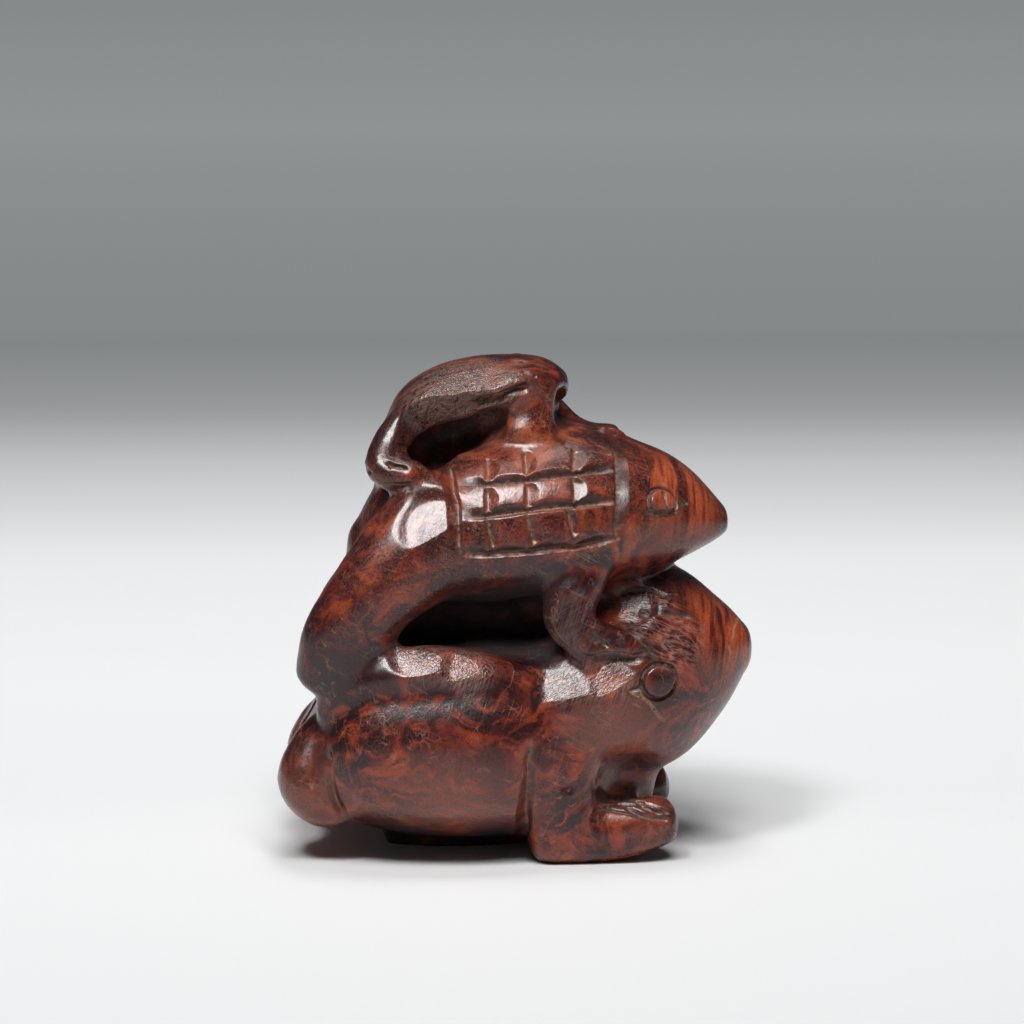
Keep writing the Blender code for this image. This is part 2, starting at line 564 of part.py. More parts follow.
def carve(work):
    """All the knife work, on both sides."""
    for side in (NEAR, FAR):
        for x, reach, z, facing, deep, size in FACETS:
            work.facet((x, reach, z), side, facing, deep, size)
    work.n = work.normals()
    for side in (NEAR, FAR):
        for x, reach, z, across, up, proud, ring, lid in EYES:
            work.eye((x, reach, z), side, across, up, proud, ring, lid)
        for row in PANEL_ROWS:
            work.cut(row, side, 0.65, 1.0, 0.3, swell=panel_swell)
        for points in PANEL_UPRIGHTS:
            work.cut(points, side, 0.5, 1.3, 0.25, sickle=True)
        for points, deep, left, right in CUTS + EYE_CUTS:
            work.cut(points, side, deep, left, right)
    work.cut(REAR_CLEFT, NEAR, 0.7, 1.3, 1.3)


def applied(obj):
    """Gives the object the mesh that its modifiers make, drops them, and returns that mesh."""
    graph = bpy.context.evaluated_depsgraph_get()
    obj.data = bpy.data.meshes.new_from_object(obj.evaluated_get(graph))
    obj.modifiers.clear()
    return obj.data


def burr_wood():
    """Polished red-brown burr wood."""
    wood = bpy.data.materials.new("burr_wood")
    wood.use_nodes = True
    shader = wood.node_tree.nodes["Principled BSDF"]
    shader.inputs["Base Color"].default_value = (0.17, 0.047, 0.024, 1.0)
    shader.inputs["Roughness"].default_value = 0.3
    shader.inputs["Metallic"].default_value = 0.0
    return wood


def main():
    for obj in list(bpy.data.objects):
        bpy.data.objects.remove(obj)
    block = bpy.data.objects.new("three_frogs", joined(masses(), "three_frogs"))
    bpy.context.collection.objects.link(block)
    remesh = block.modifiers.new("one block", "REMESH")
    remesh.mode = "VOXEL"
    remesh.voxel_size = VOXEL
    remesh.adaptivity = 0.0
    work = Block(applied(block), VOXEL / MM)
    work.relax(0.9)
    work.fillet(1.6)
    work.store(block.data)
    block.modifiers.new("finer faces", "SUBSURF").levels = 1
    block.modifiers["finer faces"].render_levels = 1
    work = Block(applied(block), VOXEL / MM / 2)
    hollow_out(work)
    carve(work)
    work.relax(0.25)
    # The group stands over the origin: its box is centred on it from above
    work.v[:, :2] -= (work.v[:, :2].max(0) + work.v[:, :2].min(0)) / 2
    work.store(block.data)
    block.data.materials.append(burr_wood())
    triangles = 2 * len(block.data.polygons)
    thin = block.modifiers.new("fewer faces", "DECIMATE")
    thin.ratio = SOLID_TRIANGLES / triangles
    # The ground is cut flat, so that the soles and the belly stand on one plane
    under = bpy.data.meshes.new("ground_cutter")
    corners = [(x * 60, y * 60, z) for z in (-20, 0) for x, y in ((-1, -1), (1, -1), (1, 1), (-1, 1))]
    sides = [(3, 2, 1, 0), (4, 5, 6, 7), (0, 1, 5, 4), (1, 2, 6, 5), (2, 3, 7, 6), (3, 0, 4, 7)]
    under.from_pydata([tuple(c * MM for c in corner) for corner in corners], [], sides)
    cutter = bpy.data.objects.new("ground_cutter", under)
    bpy.context.collection.objects.link(cutter)
    cutter.hide_render = True
    cutter.display_type = "WIRE"
    level = block.modifiers.new("flat ground", "BOOLEAN")
    level.operation = "DIFFERENCE"
    level.solver = "EXACT"
    level.object = cutter
    return block


main()
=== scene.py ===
"""The looks of a small carved ornament: three frogs climbing on one another's backs.

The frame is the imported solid. One piece of fine carving replaces its single node: the same
masses and the same knife work on a denser skin, with the finer strokes, the worn edges and
the dust in the cuts. Forms are given in model millimetres, shares of the group's height.
"""

import math

import bpy
import numpy as np
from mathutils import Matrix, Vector


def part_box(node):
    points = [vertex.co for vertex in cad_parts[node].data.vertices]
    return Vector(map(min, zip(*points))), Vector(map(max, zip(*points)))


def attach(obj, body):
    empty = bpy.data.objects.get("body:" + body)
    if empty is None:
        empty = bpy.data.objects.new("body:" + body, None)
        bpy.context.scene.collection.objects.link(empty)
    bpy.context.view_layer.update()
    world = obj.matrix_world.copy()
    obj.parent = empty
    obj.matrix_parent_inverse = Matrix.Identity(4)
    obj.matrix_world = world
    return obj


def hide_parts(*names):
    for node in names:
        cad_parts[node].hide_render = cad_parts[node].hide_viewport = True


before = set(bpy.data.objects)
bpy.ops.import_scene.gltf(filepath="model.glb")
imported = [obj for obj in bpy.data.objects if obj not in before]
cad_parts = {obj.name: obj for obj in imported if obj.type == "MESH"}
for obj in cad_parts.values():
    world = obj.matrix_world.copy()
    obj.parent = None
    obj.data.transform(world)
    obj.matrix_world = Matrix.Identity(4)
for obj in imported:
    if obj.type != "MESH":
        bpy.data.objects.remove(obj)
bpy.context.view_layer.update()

NODE = "three_frogs"
SLOT = "burr_wood"

# The group's height in model millimetres, and the metres in one of them
GROUP_HEIGHT = 49.5
LOW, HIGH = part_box(NODE)
MM = (HIGH.z - LOW.z) / GROUP_HEIGHT
# Distance between the first skin's points in model millimetres; it is halved twice before the cuts
SPACING = 0.42
FINE_TRIANGLES = 196000
# Points round a ring, rings along a mass and rings that round off each of its ends
RING_POINTS = 40
RINGS = 44
CAP_RINGS = 5
# Share of its full size that the last ring of an end keeps, and how far ends of bodies and limbs stand out
LAST_RING = 0.02
BODY_END = 0.3
LIMB_END = 0.6
# Reaches in millimetres: masses and rubbed places are evened, inner corners filled, edges softened
EVENED = 0.9
FILLED = 1.6
SOFTENED = 0.12
# Share of the way that a point goes in one round of evening or filling
EVENING_STEP = 0.5
FILLING_STEP = 0.8
# Reaches in millimetres of the evened surfaces that show a hollow or a crease
HOLLOW_REACH = 1.5
CREASE_REACH = 0.3
# Painted shade and dust per millimetre that a point lies under them, and wear per millimetre over them
PAINTED_SHADE_RATE = 1.6
DUST_RATE = 4
WEAR_RATE = 10
# A drawn line's points are at least this far apart and find the surface within this margin, in millimetres
LINE_SPACING = 0.3
LINE_MARGIN = 3
# A cut's ends rise over this share of its length, to this share of its depth
END_SHARE = 0.12
END_DEPTH = 0.15
# Dust reaches this far from a cut's bottom in millimetres; a slope over 1 keeps it full near the bottom
DUST_WIDTH = 0.26
DUST_SLOPE = 1.6
# The two sides of the group: the one that the photograph shows is -Y
NEAR, FAR = -1, 1

# Upright bodies: (x, lowest z, z of the widest line, highest z, half width)
BIG_TORSO = [
    (-21.2, 6.0, 9.0, 12.6, 7.0),
    (-19.4, 4.0, 9.5, 16.0, 10.6),
    (-16.0, 2.4, 10.4, 20.2, 13.6),
    (-11.0, 1.2, 10.8, 22.2, 14.9),
    (-6.0, 0.8, 10.8, 22.2, 15.2),
    (-1.0, 0.9, 10.8, 22.0, 14.6),
    (4.0, 0.9, 10.6, 21.2, 12.8),
    (8.0, 1.4, 9.6, 18.5, 9.4),
    (11.0, 2.2, 8.4, 15.0, 6.8),
    (12.8, 3.4, 7.6, 12.0, 5.2),
]
BELLY_REST = [
    (-13.0, -0.3, 1.6, 3.6, 1.6),
    (-10.0, -0.8, 1.6, 4.0, 2.4),
    (-2.0, -0.8, 1.6, 4.0, 2.4),
    (1.0, -0.3, 1.6, 3.6, 1.6),
]
BIG_HEAD = [
    (-4.0, 9.0, 15.0, 20.5, 9.0),
    (1.0, 8.4, 15.0, 22.2, 12.4),
    (6.0, 7.6, 16.0, 24.0, 13.0),
    (10.5, 7.4, 17.0, 26.4, 12.6),
    (14.5, 7.8, 18.6, 28.4, 11.4),
    (17.5, 9.6, 19.4, 27.2, 9.5),
    (20.0, 12.5, 19.8, 25.1, 7.3),
    (21.8, 15.2, 20.0, 23.5, 5.3),
    (23.0, 17.6, 20.0, 22.1, 3.4),
]
MIDDLE_BODY = [
    (-16.0, 25.8, 29.4, 32.8, 4.0),
    (-14.6, 25.2, 30.0, 35.6, 7.0),
    (-11.0, 25.0, 31.2, 38.1, 11.0),
    (-6.0, 25.0, 32.4, 41.0, 12.4),
    (0.0, 25.0, 33.2, 42.6, 12.6),
    (5.0, 25.8, 33.7, 42.8, 12.2),
    (9.0, 26.8, 34.0, 41.9, 11.4),
    (12.5, 27.6, 33.9, 40.6, 10.2),
    (15.5, 28.8, 33.6, 39.3, 8.4),
    (18.0, 30.0, 33.2, 37.4, 6.3),
    (19.7, 30.9, 32.9, 35.5, 4.5),
    (20.8, 31.6, 32.8, 34.2, 3.0),
]
SMALL_BODY = [
    (-13.4, 39.2, 40.4, 41.8, 3.6),
    (-12.6, 39.8, 42.2, 44.2, 5.4),
    (-10.8, 41.8, 45.2, 46.6, 6.8),
    (-8.0, 42.6, 46.5, 48.3, 7.3),
    (-4.5, 43.3, 46.9, 49.3, 7.4),
    (-1.0, 44.1, 47.6, 49.5, 7.1),
    (1.6, 44.5, 47.9, 49.4, 6.3),
    (3.5, 44.7, 47.4, 48.9, 4.9),
    (4.8, 45.2, 46.7, 47.9, 3.5),
]
MIDDLE_WEB = [
    (-16.2, 15.0, 21.0, 29.6, 7.4),
    (-12.0, 17.0, 23.0, 30.0, 5.6),
    (-8.0, 18.0, 24.0, 30.0, 4.4),
    (1.0, 18.0, 24.0, 30.0, 3.4),
    (5.0, 18.0, 24.0, 30.0, 5.0),
    (12.0, 20.0, 26.0, 31.0, 6.5),
]
SMALL_WEB = [
    (-13.4, 36.0, 39.4, 42.4, 5.6),
    (-11.6, 37.0, 40.0, 43.0, 2.8),
    (-5.0, 39.0, 42.0, 46.0, 2.6),
    (-1.4, 41.0, 44.0, 47.0, 4.6),
    (2.6, 41.0, 44.0, 47.0, 4.4),
]

# Limbs of the side that is seen: (x, reach out from the middle, z, half height, half width)
BIG_THIGH = [
    (-16.6, 7.0, 12.0, 3.0, 3.4),
    (-13.5, 7.4, 12.0, 5.8, 6.0),
    (-8.5, 7.6, 12.0, 7.2, 7.6),
    (-3.5, 7.6, 11.9, 6.2, 6.8),
    (-0.6, 7.6, 11.8, 3.6, 4.4),
]
BIG_FLANK = [
    (-18.6, 7.8, 15.2, 1.8, 2.2),
    (-15.4, 9.6, 18.2, 2.5, 2.7),
    (-11.0, 10.3, 19.4, 2.8, 3.2),
    (-6.0, 10.2, 19.3, 2.6, 3.2),
    (-1.0, 10.0, 18.4, 2.3, 2.8),
    (4.0, 9.6, 17.4, 1.8, 2.4),
    (8.0, 9.0, 17.0, 1.4, 2.2),
]
BIG_HEEL = [
    (-17.9, 5.4, 14.0, 1.9, 2.8),
    (-20.3, 6.6, 10.8, 2.6, 3.5),
    (-21.0, 7.1, 7.8, 2.9, 4.0),
    (-19.6, 7.2, 6.2, 2.8, 3.8),
    (-17.2, 7.2, 5.8, 2.4, 3.2),
]
BIG_UPPER_ARM = [
    (4.6, 8.4, 15.0, 3.2, 3.4),
    (4.5, 9.2, 11.0, 3.6, 3.6),
    (4.2, 9.4, 7.0, 3.5, 3.4),
    (4.0, 9.0, 4.4, 3.2, 3.2),
]
BIG_FOREARM = [
    (2.7, 8.6, 3.2, 3.5, 3.2),
    (8.0, 8.2, 3.0, 3.3, 3.2),
    (12.0, 8.2, 3.5, 2.9, 3.0),
    (14.4, 8.0, 4.0, 2.5, 2.7),
]
MIDDLE_THIGH = [
    (-6.6, 7.0, 33.4, 6.6, 5.4),
    (-10.9, 8.6, 30.4, 5.4, 4.8),
    (-14.8, 9.4, 26.2, 4.5, 4.2),
    (-17.6, 9.0, 22.0, 4.1, 3.6),
    (-19.3, 8.2, 18.6, 3.0, 2.8),
]
MIDDLE_FAR_THIGH = [
    (-5.6, 7.0, 32.6, 6.6, 5.4),
    (-9.6, 8.6, 29.4, 5.4, 4.8),
    (-13.4, 9.4, 25.2, 4.5, 4.2),
    (-17.0, 9.0, 21.2, 3.7, 3.6),
    (-18.8, 8.2, 17.4, 2.6, 2.8),
]
MIDDLE_HIP = [
    (-15.6, 6.6, 22.0, 2.6, 3.0),
    (-13.8, 7.4, 25.5, 3.2, 3.2),
    (-11.0, 7.8, 29.5, 3.4, 3.6),
]
MIDDLE_ARM = [
    (6.6, 8.2, 30.5, 3.0, 2.6),
    (5.4, 9.6, 27.6, 2.8, 2.4),
    (4.8, 10.4, 24.9, 2.5, 2.3),
    (6.6, 10.6, 22.9, 2.2, 2.3),
    (9.4, 10.6, 22.2, 1.9, 2.1),
    (12.0, 10.2, 21.9, 1.4, 1.6),
]
SMALL_HIND = [
    (-10.8, 4.4, 43.5, 2.0, 2.0),
    (-12.6, 5.6, 41.3, 1.9, 2.0),
    (-13.3, 7.0, 39.4, 1.8, 2.1),
    (-10.2, 8.4, 38.6, 1.7, 2.0),
]
SMALL_NEAR_ARM = [
    (1.5, 3.6, 46.6, 2.8, 2.2),
    (1.2, 4.2, 44.2, 2.5, 2.0),
    (0.9, 5.0, 42.0, 2.9, 2.2),
]
SMALL_FAR_ARM = [
    (3.4, 3.0, 45.9, 1.5, 1.6),
    (4.2, 3.6, 43.3, 1.3, 1.6),
    (7.0, 3.6, 41.4, 1.0, 1.6),
    (9.8, 2.8, 41.3, 0.9, 1.7),
]

# Lines of the back panels of the middle frog, from the rear forwards: (x, reach, z)
PANEL_ROWS = [
    [
        (-5.8, 9.8, 38.2),
        (-3.2, 10.4, 38.3),
        (-0.8, 10.6, 38.5),
        (2.2, 10.5, 38.9),
        (5.1, 10.1, 39.2),
        (9.6, 8.7, 39.4),
    ],
    [(-5.0, 12.1, 35.1), (-2.8, 12.3, 35.4), (2.1, 12.1, 36.0), (5.0, 11.8, 36.2), (9.2, 10.9, 36.4)],
    [(-5.2, 12.3, 31.4), (0.2, 12.3, 31.7), (3.1, 12.2, 31.9), (6.5, 11.7, 32.2), (9.7, 11.1, 32.8)],
]
# Where the panels end along X
PANEL_ENDS = (-5.8, -3.2, 0.7, 5.3, 9.6)
# Upright cuts between the panels, from the top down
PANEL_UPRIGHTS = [
    [(-3.1, 7.6, 40.3), (-3.2, 10.2, 38.6)],
    [(-3.2, 10.7, 38.0), (-3.2, 12.2, 35.6)],
    [(-3.2, 12.3, 35.0), (-2.9, 12.4, 33.4), (-2.6, 12.4, 32.1)],
    [(0.5, 7.5, 41.1), (0.7, 10.2, 39.2)],
    [(0.7, 10.7, 38.6), (0.8, 12.2, 36.0)],
    [(0.7, 12.3, 35.4), (1.0, 12.4, 33.8), (1.4, 12.4, 32.4)],
    [(5.5, 7.0, 41.4), (5.3, 9.8, 39.5)],
    [(5.3, 10.3, 38.9), (5.4, 11.7, 36.6)],
    [(4.7, 11.9, 36.0), (4.9, 12.0, 34.6), (5.4, 12.1, 33.2)],
]

# V cuts: (points, depth, width on the left, width on the right), left seen from outside
CUTS = [
    # Half row over the panels, band behind them and band round the neck
    ([(3.9, 6.6, 41.9), (5.7, 7.0, 41.4), (8.2, 6.8, 41.0), (9.6, 6.8, 40.7)], 0.35, 0.8, 0.3),
    ([(-6.7, 7.0, 39.5), (-6.3, 10.1, 38.1), (-6.0, 12.0, 35.4), (-5.8, 12.4, 31.7)], 0.65, 0.3, 1.1),
    (
        [(9.6, 6.2, 40.9), (9.6, 9.0, 38.8), (9.5, 10.7, 36.4), (9.3, 11.2, 33.8), (9.6, 11.0, 32.4)],
        0.5,
        1.3,
        0.3,
    ),
    # Middle frog: groove round the front foot, its toes and the front edge of the foot
    (
        [
            (3.0, 11.4, 24.4),
            (3.4, 11.6, 23.0),
            (5.4, 11.9, 21.6),
            (8.0, 12.3, 21.0),
            (10.4, 12.1, 21.0),
            (12.6, 11.6, 21.6),
        ],
        0.6,
        0.5,
        0.8,
    ),
    ([(7.0, 12.8, 23.0), (7.8, 12.8, 22.8), (8.7, 12.7, 22.4)], 0.35, 0.3, 0.3),
    ([(9.2, 9.4, 24.4), (10.2, 10.4, 23.9), (11.9, 11.4, 22.8), (13.6, 11.3, 21.2)], 0.4, 0.7, 0.4),
    ([(11.6, 7.8, 25.1), (14.5, 8.8, 24.9), (17.1, 7.8, 24.4)], 0.45, 0.9, 0.5),
    # Small frog: cut behind the arm, toes and the groove under the hind foot
    ([(-4.2, 6.9, 45.2), (-1.7, 6.9, 46.1), (-0.2, 6.7, 46.8), (1.3, 6.0, 47.2)], 0.9, 0.8, 0.6),
    ([(-13.0, 8.8, 40.0), (-12.0, 9.4, 39.8), (-10.9, 9.6, 39.6)], 0.5, 0.4, 0.25),
    ([(-13.9, 7.4, 39.3), (-13.2, 8.4, 39.1)], 0.4, 0.3, 0.3),
    ([(-14.2, 7.0, 38.2), (-13.4, 8.2, 37.9), (-11.5, 10.2, 37.8), (-10.2, 10.6, 38.2)], 0.5, 0.5, 0.6),
    # Big frog: edge of the heel, edge of the front leg, top of the forearm and the toes
    ([(-18.8, 11.1, 11.9), (-18.6, 11.5, 9.5), (-18.2, 10.7, 7.3), (-17.4, 9.2, 5.2)], 0.55, 0.6, 0.6),
    (
        [
            (1.2, 13.8, 13.2),
            (0.9, 14.0, 11.0),
            (0.8, 13.2, 8.3),
            (0.6, 11.5, 5.3),
            (0.5, 9.1, 3.1),
            (0.2, 6.0, 1.6),
        ],
        0.7,
        0.7,
        1.0,
    ),
    ([(7.2, 10.8, 8.4), (8.4, 10.0, 9.4), (10.0, 9.0, 10.2), (12.4, 7.4, 10.6)], 0.5, 0.6, 1.0),
    ([(7.6, 10.6, 7.0), (10.0, 8.6, 6.3), (13.2, 6.4, 5.9)], 0.7, 1.0, 0.6),
    ([(10.4, 10.0, 6.2), (12.0, 11.4, 5.6), (13.5, 11.5, 5.0), (15.2, 10.7, 4.5)], 0.35, 0.4, 0.4),
    ([(11.6, 9.0, 6.1), (13.2, 10.7, 5.7), (15.0, 10.2, 5.2)], 0.35, 0.4, 0.4),
]
# Small cuts of the eyes: pupil lines, lower lid and corners
EYE_CUTS = [
    ([(14.4, 8.6, 37.4), (14.4, 8.7, 36.4), (14.4, 8.8, 35.4)], 0.3, 0.2, 0.2),
    ([(12.4, 9.9, 35.2), (14.2, 9.2, 35.0), (15.9, 8.0, 35.1)], 0.4, 0.35, 0.35),
    ([(16.0, 7.7, 35.7), (16.5, 7.4, 35.9), (17.1, 7.0, 35.8)], 0.3, 0.4, 0.35),
    ([(12.0, 12.1, 18.4), (11.4, 12.3, 18.1), (10.7, 12.5, 17.9)], 0.35, 0.35, 0.35),
]
# Sizes of the other cuts: (depth, width on the left, width on the right)
ROW_CUT = (0.65, 1.0, 0.3)
UPRIGHT_CUT = (0.5, 1.3, 0.25)
CLEFT_CUT = (0.7, 1.3, 1.3)
CRACK_CUT = (0.14, 0.2, 0.2)
EYE_RING_WIDTHS = (0.35, 0.3)
# Middle line of the rear, between the hind quarters of the big frog
REAR_CLEFT = [(-21.6, 0.0, 5.6), (-21.4, 0.0, 9.5), (-20.4, 0.0, 13.5), (-18.6, 0.0, 17.0)]

# Flat faces that the knife left: (x, reach, z, direction or None for the surface's own, depth, reach of it)
FACETS = [
    (-8.2, 12.3, 34.4, (-0.12, -0.83, 0.54), 0.3, 3.6),
    (-10.1, 12.3, 21.4, (-0.11, -0.76, 0.64), 0.35, 2.6),
    (-5.4, 12.9, 20.4, (-0.04, -0.82, 0.57), 0.3, 2.0),
    (4.4, 11.8, 18.5, (-0.14, -0.82, 0.55), 0.25, 2.6),
    (9.2, 12.1, 19.0, (-0.1, -0.88, 0.46), 0.25, 2.4),
    (15.5, 9.8, 22.5, (0.14, -0.86, 0.5), 0.35, 2.6),
    (11.4, 7.0, 25.4, (-0.14, -0.78, 0.6), 0.35, 2.2),
    (6.8, 12.6, 24.4, (0.05, -0.99, 0.1), 0.5, 3.6),
    (-7.0, 7.0, 44.9, (-0.05, -0.86, -0.5), 0.45, 4.4),
    (-3.4, 7.1, 45.6, (0.0, -0.86, -0.5), 0.4, 2.4),
    (-6.0, 5.8, 47.6, (-0.1, -0.55, 0.83), 0.3, 4.5),
]

# Hollows: (x, reach, z, radius, depth, sides); a negative depth raises a swelling
HOLLOWS = [
    (1.4, 5.0, 24.6, 3.2, 1.8, (-1, 1)),
    (-10.6, 8.6, 23.8, 2.6, 1.2, (-1, 1)),
    (-6.8, 5.6, 23.6, 2.6, 1.0, (-1, 1)),
    (8.8, 7.4, 26.0, 1.9, 0.9, (-1, 1)),
    (-9.2, 4.2, 39.8, 2.6, 1.2, (-1, 1)),
    (-8.0, 2.6, 40.4, 3.4, 1.6, (-1, 1)),
    (-5.0, 3.0, 42.2, 2.8, 1.2, (-1, 1)),
    (-2.6, 4.6, 43.9, 2.2, 1.2, (-1, 1)),
    (4.3, 3.0, 45.4, 1.9, 1.3, (-1, 1)),
    (-17.2, 7.4, 4.6, 2.2, 0.8, (-1, 1)),
    (10.9, 7.2, 9.2, 3.6, 0.9, (-1, 1)),
    (4.7, 13.0, 8.5, 1.0, 0.4, (-1,)),
    (6.3, 12.4, 6.8, 1.5, 0.45, (-1,)),
    (8.8, 0.9, 42.1, 1.3, -0.6, (-1,)),
    (10.2, 0.9, 41.8, 1.3, -0.7, (-1,)),
]

# Places that are rubbed smooth after the hollows are cut: (x, reach, z, radius)
RUBBED = [
    (-7.4, 4.6, 40.6, 2.4),
    (-10.4, 5.0, 40.4, 1.6),
    (-2.6, 4.8, 43.6, 1.6),
    (-6.8, 6.2, 24.2, 2.6),
    (1.4, 5.0, 25.0, 2.6),
    (-10.9, 9.4, 24.6, 2.4),
    (10.9, 7.2, 9.2, 2.0),
    (4.3, 3.4, 45.4, 1.4),
]

# Eyes: (x, reach, z, radius across, radius up, height, depth of the ring cut, flat lower lid's share)
EYES = [
    (13.7, 11.6, 18.8, 1.95, 1.85, 0.4, 0.55, 1.0),
    (14.2, 8.7, 36.1, 1.7, 1.6, 0.3, 0.5, 0.62),
    (0.1, 2.9, 49.2, 0.8, 0.5, 0.05, 0.25, 1.0),
]

# Limbs that both sides have, and how far the far one stands forward and up of the near one
FAR_SHIFTS = [
    (BIG_THIGH, (0.0, 0.0)),
    (BIG_FLANK, (0.0, 0.0)),
    (BIG_HEEL, (0.6, -0.4)),
    (BIG_UPPER_ARM, (0.5, 0.0)),
    (BIG_FOREARM, (0.1, 0.0)),
    (MIDDLE_HIP, (0.5, 0.0)),
    (MIDDLE_ARM, (0.0, 0.0)),
    (SMALL_HIND, (1.2, -0.8)),
]


def through(rows, count):
    """Reads count rows from a smooth cubic curve that passes through the given rows."""
    rows = np.asarray(rows, float)
    step = np.linalg.norm(np.diff(rows[:, :3], axis=0), axis=1)
    at = np.concatenate([[0.0], np.cumsum(step)])
    slope = np.gradient(rows, at, axis=0)
    where = np.linspace(0.0, at[-1], count)
    i = np.clip(np.searchsorted(at, where, side="right") - 1, 0, len(at) - 2)
    span = (at[i + 1] - at[i])[:, None]
    t = (where - at[i])[:, None] / span
    return (
        (1 + 2 * t) * (1 - t) ** 2 * rows[i]
        + t * (1 - t) ** 2 * span * slope[i]
        + t * t * (3 - 2 * t) * rows[i + 1]
        + t * t * (t - 1) * span * slope[i + 1]
    )


def skin(rows, fullness, blunt):
    """Points and faces of a closed skin over a path.

    The rows hold the path, the ring's two directions, its sizes over, under and beside the path,
    and the path's own direction. A ring is a superellipse, |a|^fullness + |b|^fullness = 1, with
    one fullness above and another below. Rings that shrink along a quarter circle round off both
    ends, which stand out by blunt * the ring's smaller size.
    """
    path, across, over, upper, lower, width, along = rows
    turn = np.linspace(0, np.pi / 2, CAP_RINGS + 1)[1:]
    order = np.concatenate([np.zeros(CAP_RINGS, int), np.arange(RINGS), np.full(CAP_RINGS, RINGS - 1)])
    shrink = np.concatenate([np.cos(turn)[::-1], np.ones(RINGS), np.cos(turn)])
    shrink = np.maximum(shrink, LAST_RING)
    push = np.concatenate([-np.sin(turn)[::-1], np.zeros(RINGS), np.sin(turn)])
    push *= np.minimum((upper + lower) / 2, width)[order] * blunt
    angle = np.linspace(0, 2 * np.pi, RING_POINTS, endpoint=False)
    power = np.where(np.sin(angle) > 0, 2 / fullness[0], 2 / fullness[1])
    side = np.sign(np.cos(angle)) * np.abs(np.cos(angle)) ** power
    rise = np.sign(np.sin(angle)) * np.abs(np.sin(angle)) ** power
    height = np.where(np.sin(angle) > 0, upper[order, None], lower[order, None]) * shrink[:, None]
    points = (
        (path[order] + along[order] * push[:, None])[:, None]
        + across[order][:, None] * (side * (width[order] * shrink)[:, None])[..., None]
        + over[order][:, None] * (rise * height)[..., None]
    )
    rings = len(order)
    k, j = np.meshgrid(np.arange(rings - 1), np.arange(RING_POINTS), indexing="ij")
    after = (j + 1) % RING_POINTS
    quads = np.stack([k, k + 1, k + 1, k], -1) * RING_POINTS + np.stack([j, j, after, after], -1)
    faces = [list(f) for f in quads.reshape(-1, 4)]
    faces.append(list(range(RING_POINTS)))
    faces.append(list(range((rings - 1) * RING_POINTS, rings * RING_POINTS))[::-1])
    return points.reshape(-1, 3), faces


def body(rows, upper=2.1, lower=2.1):
    """Skin of an upright body on the middle plane, from rows of the tables above."""
    placed = [(x, 0.0, rim, low, high, half) for x, low, rim, high, half in rows]
    x, _, rim, low, high, width = through(placed, RINGS).T
    path = np.stack([x, 0 * x, rim], 1)
    along, across, over = (np.tile(v, (RINGS, 1)) for v in ([1.0, 0, 0], [0, 1.0, 0], [0, 0, 1.0]))
    return skin((path, across, over, high - rim, rim - low, width, along), (upper, lower), BODY_END)


def limb(rows, side, shift=(0.0, 0.0)):
    """Skin of a limb on the near or the far side, with rings square to its path."""
    forward, up = shift
    placed = [(x + forward, reach * side, z + up, high, wide) for x, reach, z, high, wide in rows]
    rows = through(placed, RINGS)
    path = rows[:, :3]
    along = np.gradient(path, axis=0)
    along /= np.linalg.norm(along, axis=1, keepdims=True)
    across = np.array([0.0, 1.0, 0.0]) - along * along[:, 1:2]
    across /= np.linalg.norm(across, axis=1, keepdims=True)
    over = np.cross(along, across)
    return skin((path, across, over, rows[:, 3], rows[:, 3], rows[:, 4], along), (2.0, 2.0), LIMB_END)


def masses():
    """Every rough mass of the group, as skins that overlap."""
    found = [
        body(BIG_TORSO, 2.5, 1.8),
        body(BELLY_REST),
        body(BIG_HEAD, 2.1, 2.0),
        body(MIDDLE_BODY, 2.1, 2.2),
        body(SMALL_BODY, 1.8, 2.4),
        body(MIDDLE_WEB),
        body(SMALL_WEB),
        limb(SMALL_NEAR_ARM, NEAR),
        limb(SMALL_FAR_ARM, FAR),
        limb(MIDDLE_THIGH, NEAR),
        limb(MIDDLE_FAR_THIGH, FAR),
    ]
    for rows, shift in FAR_SHIFTS:
        found += [limb(rows, NEAR), limb(rows, FAR, shift)]
    return found


def joined(skins, name):
    """One mesh that holds all the skins."""
    points, faces, start = [], [], 0
    for p, f in skins:
        points.append(p * MM)
        faces += [[i + start for i in face] for face in f]
        start += len(p)
    mesh = bpy.data.meshes.new(name)
    mesh.from_pydata(np.concatenate(points).tolist(), [], faces)
    mesh.update()
    return mesh


